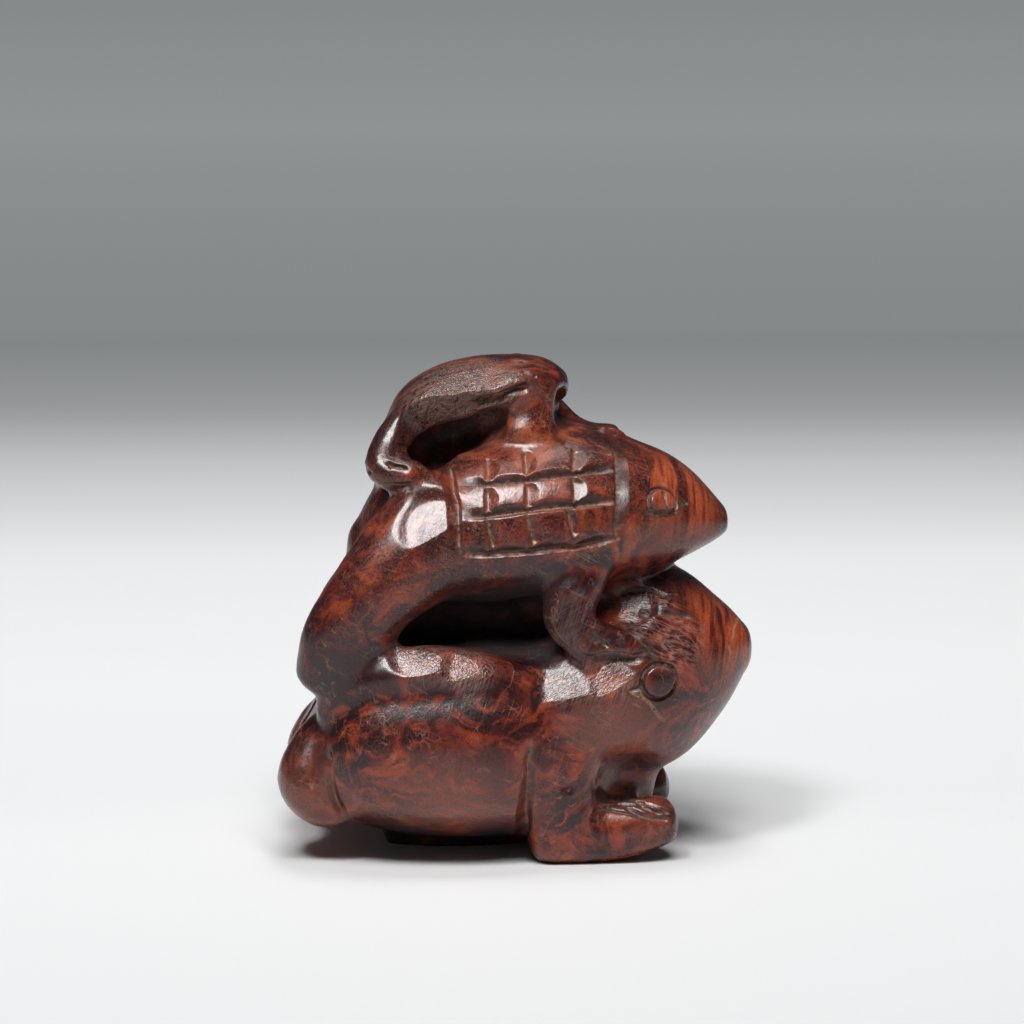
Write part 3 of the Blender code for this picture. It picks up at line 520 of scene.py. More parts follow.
class Block:
    """The rough block's points in model millimetres, and the ways in which they are worked."""

    def __init__(self, mesh, spacing):
        self.spacing = spacing
        self.v = np.empty(len(mesh.vertices) * 3)
        mesh.vertices.foreach_get("co", self.v)
        self.v = self.v.reshape(-1, 3) / MM
        self.quads = np.empty(len(mesh.polygons) * 4, int)
        mesh.polygons.foreach_get("vertices", self.quads)
        self.quads = self.quads.reshape(-1, 4)
        self.edges = np.empty(len(mesh.edges) * 2, int)
        mesh.edges.foreach_get("vertices", self.edges)
        self.edges = self.edges.reshape(-1, 2)
        self.links = np.bincount(self.edges.ravel(), minlength=len(self.v))
        self.n = self.normals()
        self.dust = np.zeros(len(self.v))
        self.soot = np.zeros(len(self.v))
        self.paint = CUT_PAINT

    def store(self, mesh):
        """Writes the points back into the mesh that they came from."""
        mesh.vertices.foreach_set("co", (self.v * MM).ravel())
        mesh.update()

    def gather(self, where, amounts):
        """Sums rows of amounts into the points named by where."""
        count = len(self.v)
        return np.stack([np.bincount(where, amounts[:, k], minlength=count) for k in range(3)], 1)

    def normals(self):
        """Outward unit normal of every point."""
        q = self.v[self.quads]
        face = np.cross(q[:, 2] - q[:, 0], q[:, 3] - q[:, 1])
        total = sum(self.gather(self.quads[:, k], face) for k in range(4))
        return total / np.maximum(np.linalg.norm(total, axis=1, keepdims=True), 1e-9)

    def lean(self):
        """Step from every point to the mean of its neighbours."""
        a, b = self.edges.T
        total = self.gather(a, self.v[b]) + self.gather(b, self.v[a])
        return total / self.links[:, None] - self.v

    def relax(self, reach, amount=1.0):
        """Evens the surface out over about the given reach."""
        for _ in range(max(1, round((reach / self.spacing) ** 2))):
            self.v += self.lean() * (EVENING_STEP * np.reshape(amount, (-1, 1)))

    def fillet(self, reach):
        """Fills the inner corners only: points move out along their normals, never in."""
        for _ in range(max(1, round((reach / self.spacing) ** 2))):
            n = self.normals()
            out = np.maximum((self.lean() * n).sum(1), 0)
            self.v += n * (FILLING_STEP * out)[:, None]

    def near(self, spots):
        """Weight of every point, 1 inside spots of (x, y, z, radius) and fading to 0 at twice it."""
        weight = np.zeros(len(self.v))
        for x, y, z, radius in spots:
            far = np.linalg.norm(self.v - (x, y, z), axis=1) / radius
            weight = np.maximum(weight, np.clip(2 - far, 0, 1))
        return weight * weight * (3 - 2 * weight)

    def settle(self, points, side):
        """Points of a drawn line, on the surface and about as close together as the mesh's own."""
        points = np.array(points, float) * (1, side, 1)
        steps = np.linalg.norm(np.diff(points, axis=0), axis=1).sum()
        points = through(points, max(3, int(steps / max(self.spacing, LINE_SPACING))))
        low, high = points.min(0) - LINE_MARGIN, points.max(0) + LINE_MARGIN
        box = np.flatnonzero(np.all((self.v > low) & (self.v < high), axis=1))
        near = np.array([box[np.argmin(((self.v[box] - p) ** 2).sum(1))] for p in points])
        line = self.v[near]
        line[1:-1] = (line[:-2] + 2 * line[1:-1] + line[2:]) / 4
        return line, near

    def cut(self, points, side, deep, left, right, swell=None, sickle=False, closed=False):
        """Cuts a V: depth = deep * (1 - distance / width), with a width for each side of the line.

        The left width follows swell(x), or is that of a sickle: narrow at both ends of the line.
        The cut also takes the present paint's share of dust and of painted shade on its walls.
        """
        line, at = self.settle(points, side)
        n = self.n
        wide = max(left, right)
        inside = np.all((self.v > line.min(0) - wide) & (self.v < line.max(0) + wide), axis=1)
        pick = np.flatnonzero(inside)
        p = self.v[pick]
        best = np.full(len(pick), 1e9)
        hand = np.zeros(len(pick))
        along = np.zeros(len(pick))
        for k in range(len(line) - 1):
            a, b = line[k], line[k + 1]
            t = np.clip((p - a) @ (b - a) / max((b - a) @ (b - a), 1e-9), 0, 1)
            off = p - a - t[:, None] * (b - a)
            far = np.linalg.norm(off, axis=1)
            closer = far < best
            best[closer] = far[closer]
            hand[closer] = (off @ np.cross(n[at[k]], b - a))[closer] * -side
            along[closer] = ((k + t) / (len(line) - 1))[closer]
        width = np.where(hand > 0, left, right)
        if swell is not None:
            width = np.where(hand > 0, width * swell(p[:, 0]), width)
        if sickle:
            width = np.where(hand > 0, width * (0.3 + 0.7 * np.sin(np.pi * along) ** 0.7), width)
        share = np.clip(1 - best / np.maximum(width, 1e-3), 0, 1)
        dust, wide_shade, narrow_shade = self.paint
        dust = dust * np.clip(DUST_SLOPE - DUST_SLOPE * best / DUST_WIDTH, 0, 1)
        self.dust[pick] = np.maximum(self.dust[pick], dust)
        # painted shade on the cut's walls
        soot = np.where(hand > 0, wide_shade, narrow_shade) * np.clip(share * 3, 0, 1)
        self.soot[pick] = np.maximum(self.soot[pick], soot)
        depth = deep * share
        if not closed:
            depth *= np.clip(np.minimum(along, 1 - along) / END_SHARE, END_DEPTH, 1)
        self.v[pick] -= n[pick] * depth[:, None]

    def facet(self, at, side, facing, deep, reach):
        """Planes off what stands above a flat face that lies deep under the surface at a point.

        All of it goes within 3/4 of the reach, and nothing beyond 5/4 of it.
        """
        at = np.array(at, float) * (1, side, 1)
        near = np.argmin(((self.v - at) ** 2).sum(1))
        facing = self.n[near] if facing is None else np.array(facing, float) * (1, -side, 1)
        facing = facing / np.linalg.norm(facing)
        off = self.v - self.v[near]
        over = np.maximum(off @ facing + deep, 0)
        off -= (off @ facing)[:, None] * facing
        weight = np.clip(2.5 - 2 * np.linalg.norm(off, axis=1) / reach, 0, 1)
        weight *= weight * (3 - 2 * weight)
        weight[over > 4 * deep + 1.0] = 0
        self.v -= facing * (over * weight)[:, None]

    def hollow(self, at, side, radius, deep):
        """Presses a round hollow in, or raises a swelling when deep is negative."""
        off = self.v - np.array(at, float) * (1, side, 1)
        share = np.clip(1 - (off ** 2).sum(1) / np.square(radius), 0, 1) ** 1.5
        self.v -= self.n * (deep * share)[:, None]

    def eye(self, at, side, across, up, proud, ring, lid):
        """A raised eyeball inside a ring cut, in the plane that the surface has there."""
        at = np.array(at, float) * (1, side, 1)
        near = np.argmin(((self.v - at) ** 2).sum(1))
        centre, n = self.v[near].copy(), self.n[near]
        u = np.cross((0.0, 0.0, 1.0), n)
        u /= np.linalg.norm(u)
        w = np.cross(n, u)
        off = self.v - centre
        share = (off @ u / across) ** 2 + (off @ w / up) ** 2 + (off @ n / across) ** 2
        self.v += self.n * (proud * np.sqrt(np.clip(1 - share, 0, 1)))[:, None]
        turn = np.linspace(0, 2 * np.pi, 25)
        rise = np.maximum(np.sin(turn), -lid)
        loop = centre + np.outer(np.cos(turn) * across, u) + np.outer(rise * up, w)
        self.cut(loop * (1, side, 1), side, ring, *EYE_RING_WIDTHS, closed=True)


def panel_swell(x):
    """Scallops of a cut: wide in the middle of each panel and narrow at its two ends."""
    ends = np.array(PANEL_ENDS)
    k = np.clip(np.searchsorted(ends, x) - 1, 0, len(ends) - 2)
    share = np.clip((x - ends[k]) / (ends[k + 1] - ends[k]), 0, 1)
    return 0.25 + 0.75 * np.sqrt(np.sin(np.pi * share))


def hollow_out(work):
    """The hollows and swellings, evened out."""
    for x, reach, z, radius, deep, sides in HOLLOWS:
        for side in sides:
            work.hollow((x, reach, z), side, radius, deep)
    spots = [(x, reach * side, z, radius) for x, reach, z, radius in RUBBED for side in (NEAR, FAR)]
    work.relax(EVENED, work.near(spots))


def carve(work):
    """All the knife work, on both sides."""
    for side in (NEAR, FAR):
        for x, reach, z, facing, deep, size in FACETS:
            work.facet((x, reach, z), side, facing, deep, size)
    work.n = work.normals()
    for side in (NEAR, FAR):
        work.paint = EYE_PAINT
        for x, reach, z, across, up, proud, ring, lid in EYES:
            work.eye((x, reach, z), side, across, up, proud, ring, lid)
        work.paint = ROW_PAINT
        for row in PANEL_ROWS:
            work.cut(row, side, *ROW_CUT, swell=panel_swell)
        work.paint = UPRIGHT_PAINT
        for points in PANEL_UPRIGHTS:
            work.cut(points, side, *UPRIGHT_CUT, sickle=True)
        work.paint = CUT_PAINT
        for points, deep, left, right in CUTS:
            work.cut(points, side, deep, left, right)
        work.paint = EYE_PAINT
        for points, deep, left, right in EYE_CUTS:
            work.cut(points, side, deep, left, right)
    work.cut(REAR_CLEFT, NEAR, *CLEFT_CUT)


def applied(obj):
    """Gives the object the mesh that its modifiers make, drops them, and returns that mesh."""
    graph = bpy.context.evaluated_depsgraph_get()
    obj.data = bpy.data.meshes.new_from_object(obj.evaluated_get(graph))
    obj.modifiers.clear()
    return obj.data


# How much dust and painted shade each kind of cut holds: (dust, painted shade on the wide wall, painted
# shade on the narrow one)
ROW_PAINT = (1.0, 1.0, 0.0)
UPRIGHT_PAINT = (0.6, 0.0, 0.0)
CUT_PAINT = (0.3, 0.7, 0.2)
EYE_PAINT = (0.3, 1.0, 1.0)
STROKE_PAINT = (0.1, 0.9, 0.5)
CRACK_PAINT = (1.0, 0.0, 0.0)

# Where each finish shows: (x, reach, z, radius, amount), the same on both sides.
# Lighter wood, or darker where the amount is below 0; the dark spots on the small frog's underside facet
# and the middle frog's lower hind leg are painted shade
TONE_AND_SHADE = [
    (1.5, 8.0, 42.4, 5.0, 0.9),
    (-4.0, 10.0, 40.0, 4.0, 0.6),
    (15.0, 7.0, 38.0, 5.5, 1.1),
    (-12.5, 12.0, 30.2, 5.0, 0.1),
    (-1.5, 11.0, 29.0, 5.0, -0.3),
    (-19.0, 9.0, 21.5, 4.5, -0.9),
    (-6.5, 7.0, 45.6, 4.6, -1.5),
    (-12.0, 7.0, 42.0, 3.0, -0.8),
    (1.3, 6.0, 45.0, 3.0, 0.3),
    (-7.5, 15.0, 15.5, 5.0, -0.3),
    (-9.5, 13.0, 5.0, 5.0, 0.35),
    (5.0, 11.5, 25.0, 4.5, -0.8),
    (20.5, 5.0, 22.0, 5.0, 0.2),
    (10.0, 12.0, 12.0, 4.0, 0.1),
]
# Curly fibres
WOOL = [
    (-11.0, 12.0, 32.0, 8.0, 1.0),
    (-3.0, 8.0, 42.0, 7.0, 1.2),
    (5.0, 9.0, 40.0, 6.0, 0.8),
    (13.0, 8.0, 38.0, 6.0, 0.6),
    (9.0, 7.0, 9.0, 4.0, 0.7),
    (-8.0, 14.0, 8.0, 8.0, 0.3),
    (9.0, 12.0, 14.0, 6.0, 0.3),
]
# Upright hatching, or fanned hatching where the amount is below 0; its pale lines are partly painted
# highlight on the lit facets
HATCH = [
    (-6.0, 6.0, 47.4, 4.5, 1.8),
    (-10.0, 12.0, 21.4, 2.4, 0.9),
    (-5.2, 12.6, 20.4, 2.2, 1.3),
    (4.4, 11.8, 18.6, 2.2, 1.0),
    (9.2, 12.0, 18.8, 2.2, 0.9),
    (15.5, 9.8, 22.6, 2.8, -1.4),
    (11.6, 7.5, 25.4, 2.6, -1.2),
    (5.0, 12.0, 25.0, 3.0, 0.5),
]
# Upright layers of the heads
LAYERS = [
    (20.0, 5.0, 22.5, 4.6, 1.0),
    (17.0, 6.0, 37.6, 4.6, 1.2),
]
# Painted sheen: lighter pinkish brown that stands for the floor mirrored in the lower flank, rear, cheeks,
# foot and chin
PAINTED_SHEEN_SPOTS = [
    (-6.0, 13.5, 6.0, 5.0, 1.1),
    (-20.5, 8.0, 6.5, 4.0, 1.1),
    (9.5, 12.0, 13.0, 3.5, 1.2),
    (12.5, 9.0, 5.0, 3.0, 0.6),
    (13.5, 9.5, 32.6, 2.6, 0.6),
]
# Painted shade beyond what the hollows' depth gives: the recess between the middle and big frogs, and under
# the belly
PAINTED_SHADE_SPOTS = [
    (-9.5, 7.0, 24.4, 3.2, 1.2),
    (-4.5, 6.5, 24.2, 3.6, 1.6),
    (1.0, 7.0, 24.8, 3.2, 1.8),
    (4.6, 7.5, 26.4, 2.2, 1.0),
    (-10.5, 8.5, 1.0, 2.8, 1.4),
    (-3.0, 8.5, 1.0, 2.8, 1.4),
]

# Strokes that are too fine for the solid: toes, slits and tool marks, (points, depth, left, right)
STROKES = [
    ([(8.0, 9.2, 6.2), (10.3, 9.6, 6.0), (12.6, 9.8, 5.6), (14.5, 10.3, 4.7)], 0.2, 0.2, 0.3),
    ([(9.4, 8.3, 6.2), (12.1, 9.3, 6.0), (14.1, 10.0, 5.5), (15.2, 10.1, 4.6)], 0.18, 0.2, 0.25),
    ([(7.3, 11.1, 6.1), (9.6, 10.3, 5.4), (12.1, 10.8, 4.7)], 0.12, 0.2, 0.2),
    ([(8.7, 10.3, 5.6), (10.9, 10.6, 5.2), (13.0, 10.9, 4.3)], 0.12, 0.2, 0.2),
    ([(8.6, 8.8, 6.3), (10.7, 7.6, 5.9), (12.8, 8.5, 6.3)], 0.5, 0.6, 0.4),
    ([(-12.8, 9.4, 39.6), (-12.1, 9.0, 39.7), (-11.3, 9.3, 39.7)], 0.3, 0.25, 0.2),
    ([(10.5, 5.7, 26.6), (13.2, 6.3, 26.9), (14.9, 7.1, 26.3)], 0.25, 0.3, 0.5),
    ([(8.6, 11.9, 22.5), (7.8, 11.9, 23.0), (7.2, 12.0, 23.6)], 0.25, 0.25, 0.2),
    ([(0.4, 5.5, 48.7), (1.3, 6.0, 48.3), (1.9, 5.8, 48.1)], 0.2, 0.3, 0.3),
]
# Thin cracks with amber dust in them, on the seen side only
CRACKS = [
    [(11.9, 12.3, 17.3), (12.7, 12.0, 16.7), (13.4, 11.5, 15.6), (14.2, 10.8, 14.6)],
    [(10.7, 12.4, 18.2), (11.3, 12.4, 17.6), (11.9, 12.3, 17.3), (12.0, 12.2, 18.0)],
    [(21.3, 5.5, 21.6), (21.6, 4.2, 22.6), (22.2, 1.2, 23.0)],
    [(20.9, 6.4, 19.0), (21.2, 6.1, 20.2), (20.9, 6.2, 21.3)],
]


def painted(work, spots):
    """Sum over the spots of amount * smooth falloff, 1 at a spot and 0 at twice its radius."""
    total = np.zeros(len(work.v))
    for x, reach, z, radius, amount in spots:
        near = np.minimum(
            np.linalg.norm(work.v - (x, reach, z), axis=1),
            np.linalg.norm(work.v - (x, -reach, z), axis=1),
        )
        share = np.clip(1 - near / (2 * radius), 0, 1)
        total += amount * share * share * (3 - 2 * share)
    return total


def sunk(work, reach):
    """How deep each point lies under the surface evened out over the reach: (smooth - own) . normal."""
    own = work.v.copy()
    n = work.normals()
    work.relax(reach)
    depth = ((work.v - own) * n).sum(1)
    work.v = own
    return depth


def marked(mesh, marks):
    """Keeps numbers of the points as the mesh's attributes."""
    for name, values in marks.items():
        mark = mesh.attributes.new(name, "FLOAT", "POINT")
        mark.data.foreach_set("value", values.astype(np.float32))


def finer(block, spacing):
    """Halves the spacing of the block's points."""
    halves = block.modifiers.new("finer faces", "SUBSURF")
    halves.levels = halves.render_levels = 1
    return Block(applied(block), spacing)


def frogs():
    """The fine carving, with its dust, painted shade in the cuts and hollows, wear and tones as attributes.
    """
    block = bpy.data.objects.new("carved_frogs", joined(masses(), "carved_frogs"))
    bpy.context.scene.collection.objects.link(block)
    remesh = block.modifiers.new("one block", "REMESH")
    remesh.mode = "VOXEL"
    remesh.voxel_size = SPACING * MM
    remesh.adaptivity = 0.0
    work = Block(applied(block), SPACING)
    work.relax(EVENED)
    work.fillet(FILLED)
    work.store(block.data)
    work = finer(block, SPACING / 2)
    hollow_out(work)
    work.store(block.data)
    marked(
        block.data,
        {
            # painted shade: darker the deeper a point lies in a hollow, and in the listed recesses and
            # under the belly
            "grime": np.clip(sunk(work, HOLLOW_REACH) * PAINTED_SHADE_RATE + painted(work, PAINTED_SHADE_SPOTS), 0, 1),
            # lighter and darker wood, with painted shade where it goes below 0
            "tone": painted(work, TONE_AND_SHADE),
            "wool": painted(work, WOOL),
            "hatch": painted(work, HATCH),
            "layers": painted(work, LAYERS),
            # painted sheen: the floor's reflection as lighter colour
            "haze": painted(work, PAINTED_SHEEN_SPOTS),
        },
    )
    work = finer(block, SPACING / 4)
    carve(work)
    work.n = work.normals()
    work.paint = STROKE_PAINT
    for points, deep, left, right in STROKES:
        for side in (NEAR, FAR):
            work.cut(points, side, deep, left, right)
    work.paint = CRACK_PAINT
    for points in CRACKS:
        work.cut(points, NEAR, *CRACK_CUT)
    work.relax(SOFTENED)
    creases = sunk(work, CREASE_REACH)
    marks = {
        "dust": np.clip(work.dust + creases * DUST_RATE, 0, 1),
        # painted shade on the walls of the cuts
        "soot": work.soot,
        "worn": np.clip(-creases * WEAR_RATE, 0, 1),
    }
    # Centred on the origin and standing on z = 0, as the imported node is
    work.v[:, :2] -= (work.v[:, :2].max(0) + work.v[:, :2].min(0)) / 2
    work.v[:, 2] = np.maximum(work.v[:, 2], 0)
    work.store(block.data)
    marked(block.data, marks)
    thin = block.modifiers.new("fewer faces", "DECIMATE")
    thin.ratio = FINE_TRIANGLES / (2 * len(block.data.polygons))
    mesh = applied(block)
    mesh.polygons.foreach_set("use_smooth", np.ones(len(mesh.polygons), bool))
    mesh.update()
    return block


class Value:
    """A number that varies over the surface. Arithmetic on it adds Math nodes."""

    def __init__(self, finish, socket):
        self.finish = finish
        self.socket = socket

    def math(self, operation, *others):
        """The operation on this value and the others, in that order."""
        node = self.finish.node(
            "ShaderNodeMath",
            {"operation": operation},
            dict(enumerate((self, *others))),
        )
        return Value(self.finish, node.outputs[0])

    def __add__(self, other):
        return self.math("ADD", other)

    __radd__ = __add__

    def __mul__(self, other):
        return self.math("MULTIPLY", other)

    def __sub__(self, other):
        return self.math("SUBTRACT", other)

    def __rsub__(self, other):
        return self.math("MULTIPLY_ADD", -1.0, other)

    def __truediv__(self, other):
        return self.math("DIVIDE", other)

    def __abs__(self):
        return self.math("ABSOLUTE")

    def ramp(self, low, high):
        """0 at low, 1 at high and smooth between; low may be above high."""
        node = self.finish.node(
            "ShaderNodeMapRange",
            {"interpolation_type": "SMOOTHSTEP"},
            {"Value": self, "From Min": low, "From Max": high},
        )
        return Value(self.finish, node.outputs[0])


class Finish:
    """One material and the nodes that make it."""

    def __init__(self, name):
        self.material = bpy.data.materials.new(name)
        self.material.use_nodes = True
        self.tree = self.material.node_tree
        self.shader = self.tree.nodes["Principled BSDF"]

    def node(self, kind, settings=None, sockets=None):
        """Adds a node: its settings first, then the values or links of its sockets."""
        node = self.tree.nodes.new(kind)
        for name, value in (settings or {}).items():
            if name == "stops":
                stops = node.color_ramp.elements
                while len(stops) < len(value):
                    stops.new(0.5)
                for stop, (at, colour) in zip(stops, value):
                    stop.position = at
                    stop.color = (*colour, 1.0)
            else:
                setattr(node, name, value)
        self.join(node, sockets or {})
        return node

    def join(self, node, sockets):
        """Links or sets the node's sockets, by name or number."""
        for name, value in sockets.items():
            value = value.socket if isinstance(value, Value) else value
            if isinstance(value, bpy.types.NodeSocket):
                self.tree.links.new(value, node.inputs[name])
            else:
                node.inputs[name].default_value = value

    def noise(self, place, scale, detail=2.0, roughness=0.5, distortion=0.0, output="Fac"):
        """Noise of scale waves to a unit of place, with about detail finer octaves."""
        node = self.node(
            "ShaderNodeTexNoise",
            sockets={
                "Vector": place,
                "Scale": scale,
                "Detail": detail,
                "Roughness": roughness,
                "Distortion": distortion,
            },
        )
        return Value(self, node.outputs[output])

    def attribute(self, name):
        """A number that the mesh keeps at its points."""
        node = self.node("ShaderNodeAttribute", {"attribute_name": name})
        return Value(self, node.outputs["Fac"])

    def mix(self, amount, first, second, blend="MIX"):
        """Colour between the first, at 0, and the second, at 1."""
        first, second = ((*c, 1.0) if isinstance(c, tuple) else c for c in (first, second))
        node = self.node(
            "ShaderNodeMix",
            {"data_type": "RGBA", "blend_type": blend, "clamp_factor": True},
            {"Factor": amount, 6: first, 7: second},
        )
        return node.outputs[2]

    def colours(self, amount, stops):
        """Colour read from a ramp of (place, colour) stops."""
        node = self.node("ShaderNodeValToRGB", {"stops": stops}, {"Fac": amount})
        return node.outputs["Color"]

    def vector(self, operation, first, second):
        """Arithmetic on places; the second is a number for SCALE."""
        last = "Scale" if operation == "SCALE" else 1
        node = self.node("ShaderNodeVectorMath", {"operation": operation}, {0: first, last: second})
        return node.outputs[0]

    def stretched(self, place, turn, stretch):
        """Place turned back by the angles and divided by the stretch, for lines that run one way."""
        node = self.node(
            "ShaderNodeMapping",
            {"vector_type": "TEXTURE"},
            {"Vector": place, "Rotation": turn, "Scale": stretch},
        )
        return node.outputs[0]


# The ground's tones from purple-black to orange-brown, and those of the heads' layers: (share, colour)
GROUND_TONES = [
    (0.22, (0.019, 0.0040, 0.0068)),
    (0.42, (0.042, 0.0064, 0.0080)),
    (0.56, (0.085, 0.0105, 0.0090)),
    (0.72, (0.165, 0.026, 0.0130)),
    (0.92, (0.29, 0.066, 0.026)),
]
LAYER_TONES = [
    (0.34, (0.016, 0.0045, 0.0055)),
    (0.43, (0.100, 0.016, 0.010)),
    (0.53, (0.48, 0.092, 0.030)),
    (0.61, (0.21, 0.034, 0.015)),
    (0.72, (0.020, 0.0055, 0.0065)),
]
FLAME_ORANGE = (0.28, 0.040, 0.012)
CLOUD_PLUM = (0.018, 0.0042, 0.0065)
SWIRL_RED = (0.22, 0.038, 0.012)
FIBRE_PINK = (0.36, 0.125, 0.065)
PORE_SHADE = (0.35, 0.30, 0.34)
# painted sheen: the floor's reflection on the lower parts, as colour
PAINTED_SHEEN_BROWN = (0.31, 0.090, 0.052)
SCRATCH_TAN = (0.36, 0.17, 0.11)
# pale lines of the tool marks, partly painted highlight on the lit facets
HATCH_PALE_AND_GLINT = (0.36, 0.20, 0.16)
WORN_TAN = (0.26, 0.085, 0.047)
# painted shade in the cuts
CUT_SHADE_BLACK = (0.010, 0.005, 0.006)
DUST_AMBER = (0.34, 0.18, 0.12)
# painted shade in hollows, recesses and under the belly
PAINTED_SHADE_BLACK = (0.008, 0.005, 0.0055)
# Height in metres that a bump of 1 stands for
BUMP_HEIGHT = 0.000025


def lines(finish, place, turn, pitch, width):
    """Fine straight scratches: where noise that is drawn out 25 times along the line passes its middle."""
    drawn = finish.stretched(place, turn, (25 * pitch, pitch, pitch))
    return abs(finish.noise(drawn, 1.0, 1.0) - 0.5).ramp(width, 0.0)


def clean_burr(f, place, warped):
    """Colour of the wood itself, darkened as painted shade on the small frog's underside facet and the
    middle frog's lower hind leg.

    The ground is noise read as tones. Orange flames and plum clouds are a second noise drawn out
    forwards, swirls are the contour lines of a third, and the heads' layers are noise drawn out
    across the group.
    """
    tone = f.attribute("tone")
    layers_here = f.attribute("layers")
    figure = (f.noise(warped, 0.24, 4.0, 0.55) - 0.5) * 2.4 + 0.40 + tone * 0.3
    wood = f.colours(figure, GROUND_TONES)
    flame = f.noise(f.stretched(warped, (0.0, -0.35, 0.0), (4.6, 1.1, 1.6)), 1.0, 3.0, 0.5)
    patch = f.noise(place, 0.10, 1.0)
    light_here = (tone + 1.0).ramp(0.2, 0.9)
    flames = flame.ramp(0.49, 0.70) * patch.ramp(0.38, 0.54) * light_here
    wood = f.mix(flames * 0.85, wood, FLAME_ORANGE)
    wood = f.mix(flame.ramp(0.48, 0.31) * 0.75, wood, CLOUD_PLUM)
    contour = f.noise(warped, 0.26, 1.5)
    swirl = abs(contour - 0.53).ramp(0.05, 0.01) * patch.ramp(0.50, 0.60) * light_here
    wood = f.mix(swirl * 0.35, wood, SWIRL_RED)
    layer = f.noise(f.stretched(place, (0.0, 0.12, 0.08), (1.5, 14.0, 14.0)), 1.0, 3.0, 0.6)
    return f.mix(layers_here.ramp(0.0, 1.0) * 0.85, wood, f.colours(layer, LAYER_TONES))


def burr_wood():
    """Polished burr wood with its fibres, scratches, wear and dust, painted shade in the cuts and hollows,
    and painted sheen.

    Places are in millimetres and angles in radians. The burr's place is pushed about by wide
    noise. The curly fibres are the contour lines of fine noise, and the ripples that break up the
    shine are noise drawn out upwards.
    """
    f = Finish(SLOT)
    place = f.vector("SCALE", f.node("ShaderNodeTexCoord").outputs["Object"], 1000.0)
    push = f.vector("SUBTRACT", f.noise(place, 0.14, output="Color"), (0.5, 0.5, 0.5))
    warped = f.vector("ADD", place, f.vector("SCALE", push, 12.0))
    marks = ("dust", "soot", "worn", "grime", "wool", "hatch", "haze")
    dust, soot, worn, grime, wool_here, hatch_here, haze = (f.attribute(name) for name in marks)
    wood = clean_burr(f, place, warped)

    curl = abs(f.noise(place, 2.2, 0.5, 0.5, 1.4) - 0.5)
    curl_too = abs(f.noise(warped, 3.4, 0.0, 0.5, 1.0) - 0.5)
    wool = curl.ramp(0.045, 0.005) + curl_too.ramp(0.04, 0.005) * 0.6
    wool = wool * (wool_here * 0.8 + 0.02)
    wood = f.mix(wool * 0.55, wood, FIBRE_PINK)
    grain = f.noise(place, 4.0, 1.0, 0.6)
    wood = f.mix(grain.ramp(0.52, 0.36) * 0.3, wood, PORE_SHADE, "MULTIPLY")

    scratch = lines(f, place, (0.0, 0.5, 0.3), 0.9, 0.02) + lines(f, place, (0.3, -0.9, 1.1), 1.1, 0.018)
    scratch = scratch * f.noise(place, 0.5, 1.0).ramp(0.45, 0.6)
    upright = lines(f, place, (0.0, -1.25, 0.2), 0.3, 0.14)
    slanting = lines(f, place, (0.3, -0.5, 0.0), 0.36, 0.1)
    fan = lines(f, place, (0.0, 0.45, 0.2), 0.34, 0.12)
    hatch = (upright + slanting * 0.6) * hatch_here.ramp(0.05, 0.9) + fan * hatch_here.ramp(-0.05, -0.9)

    specks = f.noise(place, 3.0, 3.0, 0.7)
    dusty = dust * specks.ramp(0.34, 0.54)
    for amount, colour in (
        # painted sheen of the floor's reflection
        (haze * (specks * 0.7 + 0.08), PAINTED_SHEEN_BROWN),
        (scratch * 0.3, SCRATCH_TAN),
        # tool marks, their pale colour partly painted highlight
        (hatch * 0.35, HATCH_PALE_AND_GLINT),
        (worn * 0.35, WORN_TAN),
        # painted shade in the cuts
        (soot * 0.8, CUT_SHADE_BLACK),
        (dusty * 0.75, DUST_AMBER),
        # painted shade in hollows and recesses
        (grime * 0.88, PAINTED_SHADE_BLACK),
    ):
        wood = f.mix(amount, wood, colour)

    ripple = f.noise(f.stretched(place, (0.0, -1.25, 0.2), (2.6, 0.8, 0.8)), 1.0, 2.0, 0.6)
    carved = ripple * 2.0 - scratch * 0.2 - hatch * (hatch_here.ramp(0.9, 1.8) + 0.9)
    height = carved + wool * 0.07 + (specks + grain) * 0.4 + dusty * 0.3
    bump = f.node("ShaderNodeBump", sockets={"Strength": 0.9, "Distance": BUMP_HEIGHT, "Height": height})
    dull = dusty * 0.35 + grime * 0.5 + soot * 0.15 + hatch * 0.05
    f.join(
        f.shader,
        {
            "Base Color": wood,
            "Roughness": 0.29 + dull + (grain - 0.5) * 0.12,
            "Normal": bump.outputs[0],
            "Coat Weight": 0.1 - hatch * 0.1 - grime * 0.1,
            "Coat Roughness": 0.12,
            "IOR": 1.45,
        },
    )
    return f.material


# The table's colour, white near the ornament and darker with distance as painted fall-off of the light, and
# its painted glow, by distance in metres behind the ornament's middle
PAPER_AND_FALLOFF_TONES = [
    (-0.40, (0.16, 0.16, 0.16)),
    (-0.10, (0.66, 0.665, 0.67)),
    (0.00, (0.84, 0.845, 0.85)),
    (0.16, (0.86, 0.865, 0.87)),
    (0.25, (0.62, 0.63, 0.635)),
    (0.32, (0.30, 0.305, 0.31)),
    (0.40, (0.03, 0.03, 0.03)),
]
PAINTED_GLOW_TONES = [
    (0.02, (0.0, 0.0, 0.0)),
    (0.08, (0.10, 0.105, 0.105)),
    (0.17, (0.155, 0.16, 0.16)),
    (0.30, (0.10, 0.105, 0.105)),
    (0.41, (0.21, 0.221, 0.225)),
    (0.89, (0.265, 0.278, 0.283)),
    (1.53, (0.23, 0.245, 0.25)),
]
# The tones run from here to here, in metres
TONES_FROM, TONES_TO = -0.4, 1.6
TABLE_RADII = (0.3, 4.0)
TABLE_CORNERS = 96

